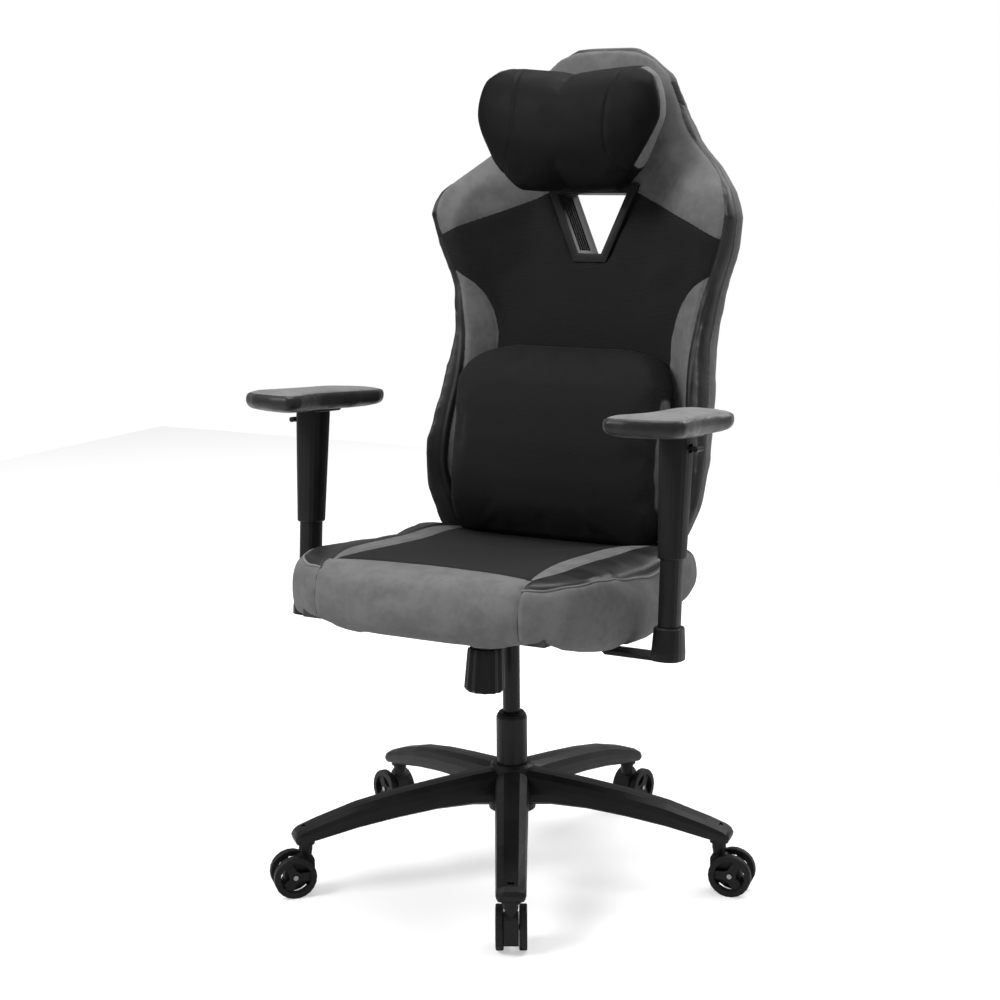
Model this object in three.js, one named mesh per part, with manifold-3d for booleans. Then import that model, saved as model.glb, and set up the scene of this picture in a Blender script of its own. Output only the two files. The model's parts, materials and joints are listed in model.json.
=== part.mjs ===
// A high-backed swivel chair for a desk: five-arm base on twin-wheel casters, gas column,
// rocking mechanism, upholstered seat and back, sliding neck pillow and adjustable armrests.
//
// Millimetres, +Z up, the sitter faces -Y and the sitter's left hand is at +X. The part stands on
// Z = 0 and the column's axis is the Z axis. Everything above the mechanism is drawn in the seat
// frame: its origin is on the column's axis at the height of the seat plate's top face, and it leans
// back by the seat's rake.
import * as THREE from "three";
import { mergeVertices } from "three/addons/utils/BufferGeometryUtils.js";
import Module from "manifold-3d";

const wasm = await Module();
wasm.setup();

// ---------------------------------------------------------------------------------------------
// Driving dimensions
// ---------------------------------------------------------------------------------------------

const GAP = 0.3; // between pieces that touch
const RUN = 0.4; // around a shaft or a slide that runs in a hole
const THROUGH = 600; // reach of a tool that cuts right through a piece
const deg = Math.PI / 180;

const BASE = {
  arms: 5,
  turn: 27.6 * deg, // of the first arm, from the front
  stemRadius: 343, // column axis to caster stem
  tipBeyond: 19, // arm past the stem
  tipUnderside: 82,
  hubRadius: 35,
  hubTop: 180,
  hubBottom: 104,
  rootWidth: 56,
  tipWidth: 45,
  bossRadius: 15, // round the caster's stem, under the arm's tip
  bossDrop: 3,
};

const CASTER = {
  wheelRadius: 34,
  wheelWidth: 12,
  rimThickness: 9.5,
  spokeWidth: 7,
  spokeInset: 3,
  trail: 21,
  stemRadius: 5.5,
  stemEngaged: 27,
  collarRadius: 11,
  forkWidth: 22,
  forkRadius: 23,
  axleRadius: 4,
  hubRadius: 10,
  // one arm's caster is turned in towards the hub, the others trail outwards
  turns: [180, 0, 0, 0, 0],
};

const COLUMN = {
  tubeRadius: 25,
  tubeBottom: 97,
  tubeTop: 262,
  tubeWall: 3,
  bushTopRadius: 20,
  bushDepth: 70,
  bushLip: 3,
  rodRadius: 4.5,
  rodTop: 250,
  cylinderRadius: 14,
  cylinderBottom: 205,
  cylinderTop: 412,
  buttonRadius: 3.6,
  buttonHeight: 5.5,
};

const MECH = {
  pivotY: -28,
  pivotZ: 414,
  shaftRadius: 6,
  housingHalfWidth: 48,
  housingRear: 42,
  housingBottom: 392,
  housingTop: 431,
  housingRearTop: 412,
  housingWall: 5,
  lipFront: -122,
  lipRear: -50,
  lipBottom: 417,
  boltHoleRadius: 12,
  plateZ: 441, // top face of the seat plate, on the column's axis
  rake: 4.5 * deg,
};

const PLATE = {
  width: 216,
  front: -122,
  rear: 118,
  thickness: 4,
  flangeGap: 3,
  flangeDrop: 40,
  flangeThickness: 5,
  flangeHalfLength: 18,
};

const TENSION = {
  y: -80,
  boltRadius: 4,
  boltHeadRadius: 9,
  boltHeadHeight: 5,
  knobTop: -57,
  knobHeight: 68,
  knobTopRadius: 26.5,
  knobBottomRadius: 31,
  knobCup: 26,
  knobCupRadius: 24.5,
  flutes: 12,
  fluteDepth: 1.3,
  springRadius: 20,
  wireRadius: 3,
  springTurns: 4.5,
  springTop: -37,
};

const LEVER = {
  radius: 4.5,
  y: 0,
  reach: 225,
  paddleLength: 62,
  paddleWidth: 26,
  paddleThickness: 8,
  drop: 38,
  bendFrom: 72,
  bendTo: 108,
  lockRadius: 4,
  lockY: 26,
  lockZ: MECH.housingBottom + 9,
  lockReach: 150,
  lockKnobRadius: 9,
  lockKnobLength: 26,
};

const SEAT = {
  width: 530,
  front: -332,
  rear: 232,
  topZ: 91,
  panThickness: 12,
  sideRim: 60, // of cushion outside the pan
  frontRim: 47,
  rearRim: 27,
};

const PAN = {
  halfWidth: SEAT.width / 2 - SEAT.sideRim,
  front: SEAT.front + SEAT.frontRim,
  rear: SEAT.rear - SEAT.rearRim,
};

const BACK = {
  width: 558,
  bottom: SEAT.topZ + 5, // height in the seat frame where the back stands on the seat
  height: 816,
  recline: 4 * deg, // of the middle of the back, from the seat frame's upright
  midY: SEAT.rear + 18, // front of the middle panel at the height of the opening's sill
  sillDown: 359, // from the top to the opening's sill
  shell: 30, // thickness of the rear shell at the middle
};
BACK.top = BACK.bottom + BACK.height;
BACK.sillZ = BACK.top - BACK.sillDown;

const OPENING = {
  sillHalfWidth: 27,
  headHalfWidth: 78,
  height: 118,
  rim: 9,
  proud: 4,
};

const LUMBAR = {
  halfWidth: 184,
  bottom: BACK.bottom + 4,
  height: 302,
  cornerRadius: 62,
};

const PILLOW = {
  width: 342,
  height: 212,
  depth: 138,
  z: BACK.top - 151,
  aside: -10, // it hangs a little towards the sitter's right
  rearGap: 2,
  strapHeight: 38,
  strapThickness: 2.2,
  strapZ: BACK.top - 86,
};

const BACK_BAR = {
  width: 64,
  thickness: 8,
  frontY: PLATE.rear + 4,
  top: BACK.bottom + 324,
  clearBehind: 9,
  bend: 26,
};

const ARM = {
  x: SEAT.width / 2 + 51.75,
  y: -100,
  barWidth: 46,
  barThickness: 6,
  barInner: PLATE.width / 2 + 14,
  joggleFrom: PAN.halfWidth - 9,
  joggleTo: PAN.halfWidth + 21,
  barDrop: 33,
  socketBottom: -33,
  socketTop: 16,
  socketBottomSize: [46, 56],
  socketTopSize: [42, 48],
  postSize: [31, 38],
  postWall: 4,
  postTop: 198,
  sleeveBottom: 118,
  sleeveTop: 297,
  sleeveBottomSize: [39, 45],
  sleeveTopSize: [46, 55],
  carriageLength: 104,
  carriageWidth: 58,
  carriageThickness: 9,
  railHalfWidth: 12,
  railRise: 3,
  railEnd: 4,
  slideEnd: 46, // of pad beyond the groove that the rail runs in
  pivotRadius: 9,
  pivotDepth: 12,
  padThickness: 26,
  padLength: 298,
  padWidth: 114,
};

const TRIGGER = {
  z: 281,
  slot: 13,
  slotDepth: 9,
  thickness: 5,
  width: 14,
  reach: 15,
};

// ---------------------------------------------------------------------------------------------
// Materials
// ---------------------------------------------------------------------------------------------

const finish = (color, roughness, metalness = 0) =>
  new THREE.MeshStandardMaterial({ color, roughness, metalness });

const MATERIAL = {
  nylon: finish(0x17181a, 0.55),
  steel: finish(0x8b8d90, 0.35, 1),
  blackSteel: finish(0x141416, 0.45, 0.6),
  plastic: finish(0x121213, 0.5),
  tread: finish(0x1a1a1b, 0.7),
  suede: finish(0x55565a, 0.85),
  knit: finish(0x101011, 0.95),
  leather: finish(0x19191b, 0.5),
  plywood: finish(0x3a332b, 0.8),
};

// ---------------------------------------------------------------------------------------------
// Geometry helpers
// ---------------------------------------------------------------------------------------------

// A geometry as a solid that can be joined and cut.
function solid(geometry) {
  const bare = geometry.clone();
  bare.deleteAttribute("normal");
  bare.deleteAttribute("uv");
  const merged = mergeVertices(bare, 1e-4);
  return new wasm.Manifold(
    new wasm.Mesh({
      numProp: 3,
      vertProperties: merged.attributes.position.array,
      triVerts: new Uint32Array(merged.index.array),
    }),
  );
}

// A solid as a geometry that can be drawn.
function geometryOf(made) {
  const mesh = made.getMesh();
  const geometry = new THREE.BufferGeometry();
  geometry.setAttribute(
    "position",
    new THREE.BufferAttribute(new Float32Array(mesh.vertProperties), 3),
  );
  geometry.setIndex(new THREE.BufferAttribute(new Uint32Array(mesh.triVerts), 1));
  geometry.computeVertexNormals();
  return geometry;
}

const join = (...geometries) =>
  geometryOf(geometries.map(solid).reduce((whole, next) => whole.add(next)));

const cut = (geometry, ...tools) =>
  geometryOf(tools.map(solid).reduce((whole, tool) => whole.subtract(tool), solid(geometry)));

const common = (a, b) => geometryOf(solid(a).intersect(solid(b)));

// A block between two corners.
function block([x0, y0, z0], [x1, y1, z1]) {
  return new THREE.BoxGeometry(x1 - x0, y1 - y0, z1 - z0).translate(
    (x0 + x1) / 2,
    (y0 + y1) / 2,
    (z0 + z1) / 2,
  );
}

// A round bar along Z, Y or X, centred on the other two axes.
function barZ(radius, z0, z1, sides = 24) {
  return new THREE.CylinderGeometry(radius, radius, z1 - z0, sides)
    .rotateX(Math.PI / 2)
    .translate(0, 0, (z0 + z1) / 2);
}

function barX(radius, x0, x1, sides = 24) {
  return new THREE.CylinderGeometry(radius, radius, x1 - x0, sides)
    .rotateZ(Math.PI / 2)
    .translate((x0 + x1) / 2, 0, 0);
}

function barY(radius, y0, y1, sides = 24) {
  return new THREE.CylinderGeometry(radius, radius, y1 - y0, sides).translate(0, (y0 + y1) / 2, 0);
}

// A turned piece about Z, from [radius, z] points: up the outside, then back along the inside.
function turned(points, sides = 28) {
  const profile = points.map(([r, z]) => new THREE.Vector2(r, z));
  const geometry = new THREE.LatheGeometry(profile, sides).rotateX(Math.PI / 2);
  return outward(geometry);
}

// Flips a closed geometry whose faces point in.
function outward(geometry) {
  const made = solid(geometry);
  if (made.volume() > 0) return geometry;
  const flipped = geometry.index ? geometry.toNonIndexed() : geometry.clone();
  const array = flipped.attributes.position.array;
  for (let i = 0; i < array.length; i += 9)
    for (let k = 0; k < 3; k++)
      [array[i + 3 + k], array[i + 6 + k]] = [array[i + 6 + k], array[i + 3 + k]];
  flipped.computeVertexNormals();
  return flipped;
}

// A closed skin over rings of equal point counts, each end closed by a fan from the ring's middle.
function loft(rings) {
  const count = rings[0].length;
  const points = rings.flat();
  const faces = [];
  for (let r = 0; r + 1 < rings.length; r++)
    for (let i = 0; i < count; i++) {
      const a = r * count + i;
      const b = r * count + ((i + 1) % count);
      faces.push(a, b, b + count, a, b + count, a + count);
    }
  for (const [ring, start, flip] of [
    [rings[0], 0, true],
    [rings.at(-1), (rings.length - 1) * count, false],
  ]) {
    const middle = ring.reduce((sum, p) => sum.add(p), new THREE.Vector3());
    points.push(middle.divideScalar(count));
    const centre = points.length - 1;
    for (let i = 0; i < count; i++) {
      const a = start + i;
      const b = start + ((i + 1) % count);
      faces.push(centre, flip ? b : a, flip ? a : b);
    }
  }
  const geometry = new THREE.BufferGeometry().setFromPoints(points);
  geometry.setIndex(faces);
  geometry.computeVertexNormals();
  return outward(geometry);
}

// A smooth curve through [position, value] stations, held level past both ends.
function curve(stations) {
  const last = stations.length - 1;
  const slope = (i) => {
    const [x0, y0] = stations[Math.max(i - 1, 0)];
    const [x1, y1] = stations[Math.min(i + 1, last)];
    return (y1 - y0) / (x1 - x0);
  };
  return (x) => {
    if (x <= stations[0][0]) return stations[0][1];
    if (x >= stations[last][0]) return stations[last][1];
    const i = stations.findIndex(([at]) => at > x) - 1;
    const [x0, y0] = stations[i];
    const [x1, y1] = stations[i + 1];
    const d = x1 - x0;
    const u = (x - x0) / d;
    const u2 = u * u;
    const u3 = u2 * u;
    return (
      (2 * u3 - 3 * u2 + 1) * y0 +
      (u3 - 2 * u2 + u) * d * slope(i) +
      (3 * u2 - 2 * u3) * y1 +
      (u3 - u2) * d * slope(i + 1)
    );
  };
}

// A rounded rectangle ring, width along X and depth along Y; a higher power is squarer.
function superRing(width, depth, power, count, place) {
  return Array.from({ length: count }, (_, i) => {
    const angle = (2 * Math.PI * (i + 0.5)) / count;
    const c = Math.cos(angle);
    const s = Math.sin(angle);
    const grow = (Math.abs(c) ** power + Math.abs(s) ** power) ** (-1 / power);
    return place((c * grow * width) / 2, (s * grow * depth) / 2);
  });
}

// A flat outline drawn in X and Y, with sides along Z from z0 to z1.
function slab(shape, z0, z1, curveSegments = 12) {
  return new THREE.ExtrudeGeometry(shape, {
    depth: z1 - z0,
    bevelEnabled: false,
    curveSegments,
  }).translate(0, 0, z0);
}

// An outline drawn in Y and Z, made w wide along X.
function sidePlate(points, x0, x1) {
  const shape = new THREE.Shape(points.map(([y, z]) => new THREE.Vector2(y, z)));
  return slab(shape, x0, x1).applyMatrix4(
    new THREE.Matrix4().makeBasis(
      new THREE.Vector3(0, 1, 0),
      new THREE.Vector3(0, 0, 1),
      new THREE.Vector3(1, 0, 0),
    ),
  );
}

const clampShare = (x) => Math.min(Math.max(x, 0), 1);
const smoothStep = (x) => clampShare(x) ** 2 * (3 - 2 * clampShare(x));

// ---------------------------------------------------------------------------------------------
// The exported group, with the raked seat frame inside it
// ---------------------------------------------------------------------------------------------

const chair = new THREE.Group();
const seatFrame = new THREE.Group();
seatFrame.position.z = MECH.plateZ;
seatFrame.rotation.x = -MECH.rake;
chair.add(seatFrame);

function add(parent, name, geometry, material) {
  const mesh = new THREE.Mesh(geometry, material);
  mesh.name = name;
  parent.add(mesh);
  return mesh;
}

// The place in the seat frame of a point given in the part's own frame (Y, Z only).
function inSeatFrame(y, z) {
  const s = Math.sin(MECH.rake);
  const c = Math.cos(MECH.rake);
  return [y * c - (z - MECH.plateZ) * s, y * s + (z - MECH.plateZ) * c];
}

// ---------------------------------------------------------------------------------------------
// Base, column
// ---------------------------------------------------------------------------------------------

// Heights of an arm's top and underside, by distance from the column's axis.
function armHeights() {
  const tip = BASE.stemRadius + BASE.tipBeyond;
  const top = curve([
    [0, BASE.hubTop - 4],
    [60, BASE.hubTop - 10],
    [tip * 0.4, BASE.hubTop - 21],
    [tip * 0.66, BASE.tipUnderside + 62],
    [tip * 0.86, BASE.tipUnderside + 42],
    [BASE.stemRadius, BASE.tipUnderside + 30],
    [tip - 6, BASE.tipUnderside + 24],
    [tip, BASE.tipUnderside + 15],
  ]);
  const under = curve([
    [0, BASE.hubBottom + 6],
    [70, BASE.hubBottom + 14],
    [tip * 0.4, BASE.hubBottom + 12],
    [tip * 0.7, BASE.tipUnderside + 20],
    [tip * 0.88, BASE.tipUnderside + BASE.bossDrop + 4],
    [BASE.stemRadius, BASE.tipUnderside + BASE.bossDrop],
    [tip - 5, BASE.tipUnderside + BASE.bossDrop],
    [tip, BASE.tipUnderside + BASE.bossDrop + 5],
  ]);
  return { top, under, tip };
}

function baseArm() {
  const { top, under, tip } = armHeights();
  const stations = [8, 70, 130, 195, 260, BASE.stemRadius - 20, BASE.stemRadius + 8, tip - 4, tip];
  const rings = stations.map((r) => {
    const share = r / tip;
    const round = r > tip - 2 ? 0.8 : r > tip - 6 ? 0.95 : 1;
    const width = (BASE.rootWidth + (BASE.tipWidth - BASE.rootWidth) * share) * round;
    const middle = (top(r) + under(r)) / 2;
    return superRing(width, top(r) - under(r), 3.4, 14, (a, b) => new THREE.Vector3(a, -r, middle + b));
  });
  return loft(rings);
}

function baseStar() {
  const bore = COLUMN.tubeRadius + GAP;
  let star = solid(
    turned([
      [0, BASE.hubBottom],
      [BASE.hubRadius + 3, BASE.hubBottom],
      [BASE.hubRadius + 3, BASE.hubTop - 20],
      [BASE.hubRadius, BASE.hubTop - 4],
      [BASE.hubRadius - 4, BASE.hubTop],
      [0, BASE.hubTop],
    ]),
  );
  const boss = barZ(BASE.bossRadius, BASE.tipUnderside, BASE.tipUnderside + 12, 18);
  const arm = solid(join(baseArm(), boss.translate(0, -BASE.stemRadius, 0)));
  for (let i = 0; i < BASE.arms; i++) star = star.add(arm.rotate([0, 0, (360 / BASE.arms) * i]));
  star = star.subtract(solid(barZ(bore, BASE.hubBottom - 10, BASE.hubTop + 10, 32)));
  const socket = barZ(CASTER.stemRadius + RUN, 0, BASE.tipUnderside + CASTER.stemEngaged + 3, 12);
  for (let i = 0; i < BASE.arms; i++) {
    const hole = socket.clone().translate(0, -BASE.stemRadius, 0);
    star = star.subtract(solid(hole).rotate([0, 0, (360 / BASE.arms) * i]));
  }
  return geometryOf(star);
}

function columnTube() {
  const { tubeRadius, tubeBottom, tubeTop, tubeWall, rodRadius } = COLUMN;
  return turned([
    [rodRadius + GAP, tubeBottom],
    [tubeRadius - 1, tubeBottom],
    [tubeRadius, tubeBottom + 2],
    [tubeRadius, tubeTop - 6],
    [tubeRadius - 2, tubeTop - 1],
    [tubeRadius - tubeWall, tubeTop - 1],
    [tubeRadius - tubeWall, tubeBottom + 3],
    [rodRadius + GAP, tubeBottom + 3],
    [rodRadius + GAP, tubeBottom],
  ]);
}

function columnBush() {
  const { tubeRadius, tubeTop, tubeWall, cylinderRadius, bushDepth, bushLip } = COLUMN;
  const outer = tubeRadius - tubeWall - GAP;
  return turned([
    [cylinderRadius + RUN, tubeTop - bushDepth],
    [outer, tubeTop - bushDepth],
    [outer, tubeTop - 1 + GAP],
    [tubeRadius - 2.5, tubeTop - 1 + GAP],
    [COLUMN.bushTopRadius, tubeTop + bushLip],
    [cylinderRadius + RUN, tubeTop + bushLip],
    [cylinderRadius + RUN, tubeTop - bushDepth],
  ]);
}

function columnRod() {
  const { rodRadius, tubeBottom, rodTop } = COLUMN;
  const flange = rodRadius + 8;
  return turned([
    [0, tubeBottom - 6],
    [rodRadius, tubeBottom - 6],
    [rodRadius, tubeBottom + 3 + GAP],
    [flange, tubeBottom + 3 + GAP],
    [flange, tubeBottom + 9],
    [rodRadius, tubeBottom + 9],
    [rodRadius, rodTop],
    [0, rodTop],
  ], 20);
}

function columnCylinder() {
  const { cylinderRadius, cylinderBottom, cylinderTop, rodRadius, rodTop, buttonRadius } = COLUMN;
  return turned([
    [rodRadius + RUN, cylinderBottom],
    [cylinderRadius, cylinderBottom],
    [cylinderRadius, cylinderTop],
    [buttonRadius + RUN, cylinderTop],
    [buttonRadius + RUN, cylinderTop - 14],
    [0, cylinderTop - 14],
    [0, cylinderTop - 30],
    [rodRadius + RUN, cylinderTop - 30],
    [rodRadius + RUN, cylinderBottom],
  ]);
}

function releaseButton() {
  const { cylinderTop, buttonRadius, buttonHeight } = COLUMN;
  return barZ(buttonRadius, cylinderTop - 8, cylinderTop + buttonHeight, 20);
}

// ---------------------------------------------------------------------------------------------
// Casters, drawn with the stem on the Z axis and the wheels trailing towards -Y
// ---------------------------------------------------------------------------------------------

function casterStem() {
  const { stemRadius, stemEngaged } = CASTER;
  const top = BASE.tipUnderside + stemEngaged;
  return turned([
    [0, CASTER.wheelRadius + 8],
    [stemRadius, CASTER.wheelRadius + 8],
    [stemRadius, top - 5],
    [stemRadius - 1, top - 4],
    [stemRadius - 1, top - 2.5],
    [stemRadius, top - 1.5],
    [stemRadius - 1.5, top],
    [0, top],
  ], 12);
}

function casterFork() {
  const { wheelRadius, forkWidth, forkRadius, collarRadius, stemRadius, trail } = CASTER;
  const shape = new THREE.Shape();
  const front = collarRadius + 1;
  const brow = wheelRadius + forkRadius;
  // the outline is drawn with the trail along +X of the shape
  shape.moveTo(-front, wheelRadius - 16);
  shape.lineTo(trail - 4, wheelRadius - 16);
  shape.absarc(trail, wheelRadius, forkRadius - 7, -100 * deg, 60 * deg, false);
  shape.quadraticCurveTo(trail + 2, brow, front - 2, brow + 6);
  shape.lineTo(-front + 4, brow + 6);
  shape.quadraticCurveTo(-front, brow + 4, -front, brow - 2);
  const cheek = slab(shape, -forkWidth / 2, forkWidth / 2, 6).applyMatrix4(
    new THREE.Matrix4().makeBasis(
      new THREE.Vector3(0, -1, 0),
      new THREE.Vector3(0, 0, 1),
      new THREE.Vector3(-1, 0, 0),
    ),
  );
  const collar = turned([
    [0, brow],
    [collarRadius - 1.5, brow],
    [collarRadius - 1.5, brow + 8],
    [collarRadius, BASE.tipUnderside - 8],
    [collarRadius, BASE.tipUnderside - GAP],
    [0, BASE.tipUnderside - GAP],
  ], 16);
  const body = join(cheek, collar);
  const stemHole = barZ(stemRadius + GAP, wheelRadius + 8 - GAP, BASE.tipUnderside + 10, 12);
  const axleHole = barX(CASTER.axleRadius + GAP, -forkWidth, forkWidth, 10);
  return cut(body, stemHole, axleHole.translate(0, -trail, wheelRadius));
}

function casterAxle() {
  const reach = CASTER.forkWidth / 2 + RUN + CASTER.wheelWidth - 1;
  return barX(CASTER.axleRadius, -reach, reach, 10).translate(0, -CASTER.trail, CASTER.wheelRadius);
}

// A rim joined to its hub by three pairs of spokes, with open windows between them.
function casterWheel(side) {
  const { wheelRadius, wheelWidth, rimThickness, spokeWidth, spokeInset, hubRadius } = CASTER;
  const half = wheelWidth / 2;
  const inner = wheelRadius - rimThickness;
  const rim = turned([
    [inner, -half],
    [wheelRadius - 1.5, -half],
    [wheelRadius, -half + 1.5],
    [wheelRadius, half - 1.5],
    [wheelRadius - 1.5, half],
    [inner, half],
    [inner, -half],
  ], 22);
  const hub = barZ(hubRadius, -half, half - spokeInset, 12);
  const web = [0, 1, 2].map((i) =>
    block([0, -spokeWidth, -half + 1], [inner + 2, spokeWidth, half - spokeInset])
      .rotateZ((i * 120 + 90) * deg),
  );
  const bore = barZ(CASTER.axleRadius + RUN, -wheelWidth, wheelWidth, 10);
  const wheel = cut(join(rim, hub, ...web), bore);
  const offset = CASTER.forkWidth / 2 + RUN + half;
  return wheel
    .rotateY(90 * deg)
    .scale(side, 1, 1)
    .translate(side * offset, -CASTER.trail, CASTER.wheelRadius);
}

function addCasters() {
  for (let i = 0; i < BASE.arms; i++) {
    const angle = BASE.turn + (2 * Math.PI * i) / BASE.arms;
    const caster = new THREE.Group();
    caster.position.set(
      BASE.stemRadius * Math.sin(angle),
      -BASE.stemRadius * Math.cos(angle),
      0,
    );
    caster.rotation.z = angle + CASTER.turns[i] * deg;
    chair.add(caster);
    const name = "caster_" + (i + 1);
    add(caster, name + "_stem", casterStem(), MATERIAL.steel);
    add(caster, name + "_fork", casterFork(), MATERIAL.plastic);
    add(caster, name + "_axle", casterAxle(), MATERIAL.steel);
    add(caster, name + "_wheel_a", outward(casterWheel(1)), MATERIAL.tread);
    add(caster, name + "_wheel_b", outward(casterWheel(-1)), MATERIAL.tread);
  }
}

// ---------------------------------------------------------------------------------------------
// Rocking mechanism
// ---------------------------------------------------------------------------------------------

function mechanismHousing() {
  const m = MECH;
  const wide = m.housingHalfWidth;
  const outline = [
    [m.lipFront, m.lipBottom],
    [m.lipRear, m.lipBottom],
    [m.lipRear, m.housingBottom],
    [m.housingRear, m.housingBottom],
    [m.housingRear, m.housingRearTop],
    [m.pivotY, m.housingTop],
    [m.lipFront, m.housingTop],
  ];
  const body = sidePlate(outline, -wide, wide);
  const inner = wide - m.housingWall;
  const floor = COLUMN.cylinderTop - 10;
  // an open tray around the column's head and the levers
  const tray = block(
    [-inner, m.pivotY + m.shaftRadius + 6, floor],
    [inner, m.housingRear - m.housingWall, m.housingTop + 10],
  );
  const boss = barZ(COLUMN.cylinderRadius + 7, floor - 2, COLUMN.cylinderTop - 1, 28);
  const bore = barZ(COLUMN.cylinderRadius + GAP, m.housingBottom - 5, m.housingTop + 5, 28);
  const shaft = barX(m.shaftRadius + RUN, -wide - 5, wide + 5, 24).translate(0, m.pivotY, m.pivotZ);
  const boltZ = (m.lipBottom + m.housingTop) / 2;
  const bolt = barZ(m.boltHoleRadius, -40, 40, 24).translate(0, tensionWorldY(), boltZ);
  const leverSlot = block(
    [-wide - 5, LEVER.y - LEVER.radius - 2, leverHeight() - LEVER.radius - 6],
    [-inner + 5, LEVER.y + LEVER.radius + 2, m.housingTop + 10],
  );
  const lockSlot = barX(LEVER.lockRadius + RUN, inner - 30, wide + 5, 18);
  lockSlot.translate(0, LEVER.lockY, LEVER.lockZ);
  const tub = join(cut(body, tray), boss);
  return cut(tub, bore, shaft, bolt, leverSlot, lockSlot);
}

// Where the tension bolt crosses the housing's lip.
function tensionWorldY() {
  const s = Math.sin(MECH.rake);
  const c = Math.cos(MECH.rake);
  const lipZ = (MECH.lipBottom + MECH.housingTop) / 2 - MECH.plateZ;
  return (TENSION.y + lipZ * s) / c + 0.5;
}

function tiltShaft() {
  const reach = MECH.housingHalfWidth + PLATE.flangeGap + PLATE.flangeThickness + 4;
  return barX(MECH.shaftRadius, -reach, reach, 24).translate(0, MECH.pivotY, MECH.pivotZ);
}

function seatPlate() {
  const p = PLATE;
  const [shaftY, shaftZ] = inSeatFrame(MECH.pivotY, MECH.pivotZ);
  const inner = MECH.housingHalfWidth + p.flangeGap;
  const half = p.width / 2;
  let plate = block([-half, p.front, -p.thickness], [half, p.rear, 0]);
  for (const side of [-1, 1]) {
    const x0 = side < 0 ? -inner - p.flangeThickness : inner;
    const flange = block(
      [x0, shaftY - p.flangeHalfLength, -p.flangeDrop],
      [x0 + p.flangeThickness, shaftY + p.flangeHalfLength, -p.thickness / 2],
    );
    plate = join(plate, flange);
  }
  const bore = barX(MECH.shaftRadius + GAP, -half, half, 24).translate(0, shaftY, shaftZ);
  const boltHole = barZ(TENSION.boltRadius + GAP, -20, 20, 18).translate(0, TENSION.y, 0);
  return cut(plate, bore, boltHole);
}

function tensionBolt() {
  const t = TENSION;
  const bottom = t.knobTop - t.knobHeight + 10;
  return turned([
    [0, bottom],
    [t.boltRadius, bottom],
    [t.boltRadius, GAP],
    [t.boltHeadRadius, GAP],
    [t.boltHeadRadius, GAP + t.boltHeadHeight],
    [0, GAP + t.boltHeadHeight],
  ], 18).translate(0, t.y, 0);
}

function tensionKnob() {
  const t = TENSION;
  const lobes = (radius, z) =>
    Array.from({ length: t.flutes * 4 }, (_, i) => {
      const angle = (2 * Math.PI * i) / (t.flutes * 4);
      const r = radius + t.fluteDepth * Math.cos(angle * t.flutes);
      return new THREE.Vector3(r * Math.cos(angle), r * Math.sin(angle), z);
    });
  const foot = t.knobTop - t.knobHeight;
  const body = loft([
    lobes(t.knobBottomRadius - 4, foot),
    lobes(t.knobBottomRadius, foot + 5),
    lobes(t.knobTopRadius + 1, t.knobTop - 6),
    lobes(t.knobTopRadius, t.knobTop),
  ]);
  const cup = barZ(t.knobCupRadius, t.knobTop - t.knobCup, t.knobTop + 5, 24);
  const bore = barZ(t.boltRadius + RUN, foot + 9, t.knobTop + 5, 18);
  return cut(body, cup, bore).translate(0, t.y, 0);
}

class Coil extends THREE.Curve {
  getPoint(share, target = new THREE.Vector3()) {
    const t = TENSION;
    const bottom = t.knobTop - t.knobCup + t.wireRadius + GAP;
    const angle = share * t.springTurns * 2 * Math.PI;
    const z = bottom + (t.springTop - t.wireRadius - bottom) * share;
    return target.set(t.springRadius * Math.cos(angle), t.springRadius * Math.sin(angle), z);
  }
}

function tensionSpring() {
  const wire = new THREE.Shape().absarc(0, 0, TENSION.wireRadius, 0, 2 * Math.PI);
  const coil = new THREE.ExtrudeGeometry(wire, {
    extrudePath: new Coil(),
    steps: 45,
    curveSegments: 3,
    bevelEnabled: false,
  });
  return outward(coil).translate(0, TENSION.y, 0);
}

// Height of the lever's middle where it rests on the release button.
const leverHeight = () => COLUMN.cylinderTop + COLUMN.buttonHeight + GAP + LEVER.radius;

// The lever crosses the release button, leaves the housing on the sitter's right and bends down.
function heightLever() {
  const l = LEVER;
  const rise = leverHeight();
  const path = new THREE.CatmullRomCurve3(
    [
      [14, rise],
      [-l.bendFrom * 0.7, rise],
      [-l.bendFrom, rise],
      [-l.bendTo, rise - l.drop],
      [-l.bendTo - 20, rise - l.drop],
      [-l.reach + l.paddleLength / 2, rise - l.drop],
    ].map(([x, z]) => new THREE.Vector3(x, l.y, z)),
    false,
    "catmullrom",
    0.2,
  );
  const section = new THREE.Shape().absarc(0, 0, l.radius, 0, 2 * Math.PI);
  const rod = outward(
    new THREE.ExtrudeGeometry(section, {
      extrudePath: path,
      steps: 22,
      curveSegments: 5,
      bevelEnabled: false,
    }),
  );
  const z = rise - l.drop;
  const paddle = loft(
    [0, 0.2, 0.85, 1].map((share, i) => {
      const x = -l.reach + l.paddleLength * (1 - share);
      const ease = i === 0 || i === 3 ? 0.7 : 1;
      return superRing(l.paddleWidth * ease, l.paddleThickness * ease + 3, 3, 12, (a, b) =>
        new THREE.Vector3(x, l.y + a, z + b),
      );
    }),
  );
  return join(rod, paddle);
}

function tiltLockLever() {
  const l = LEVER;
  const rod = barX(l.lockRadius, MECH.housingHalfWidth - 30, l.lockReach - l.lockKnobLength / 2, 18);
  const knob = barX(l.lockKnobRadius, l.lockReach - l.lockKnobLength, l.lockReach, 18);
  return join(rod, knob).translate(0, l.lockY, l.lockZ);
}

// ---------------------------------------------------------------------------------------------
// Seat
// ---------------------------------------------------------------------------------------------

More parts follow.
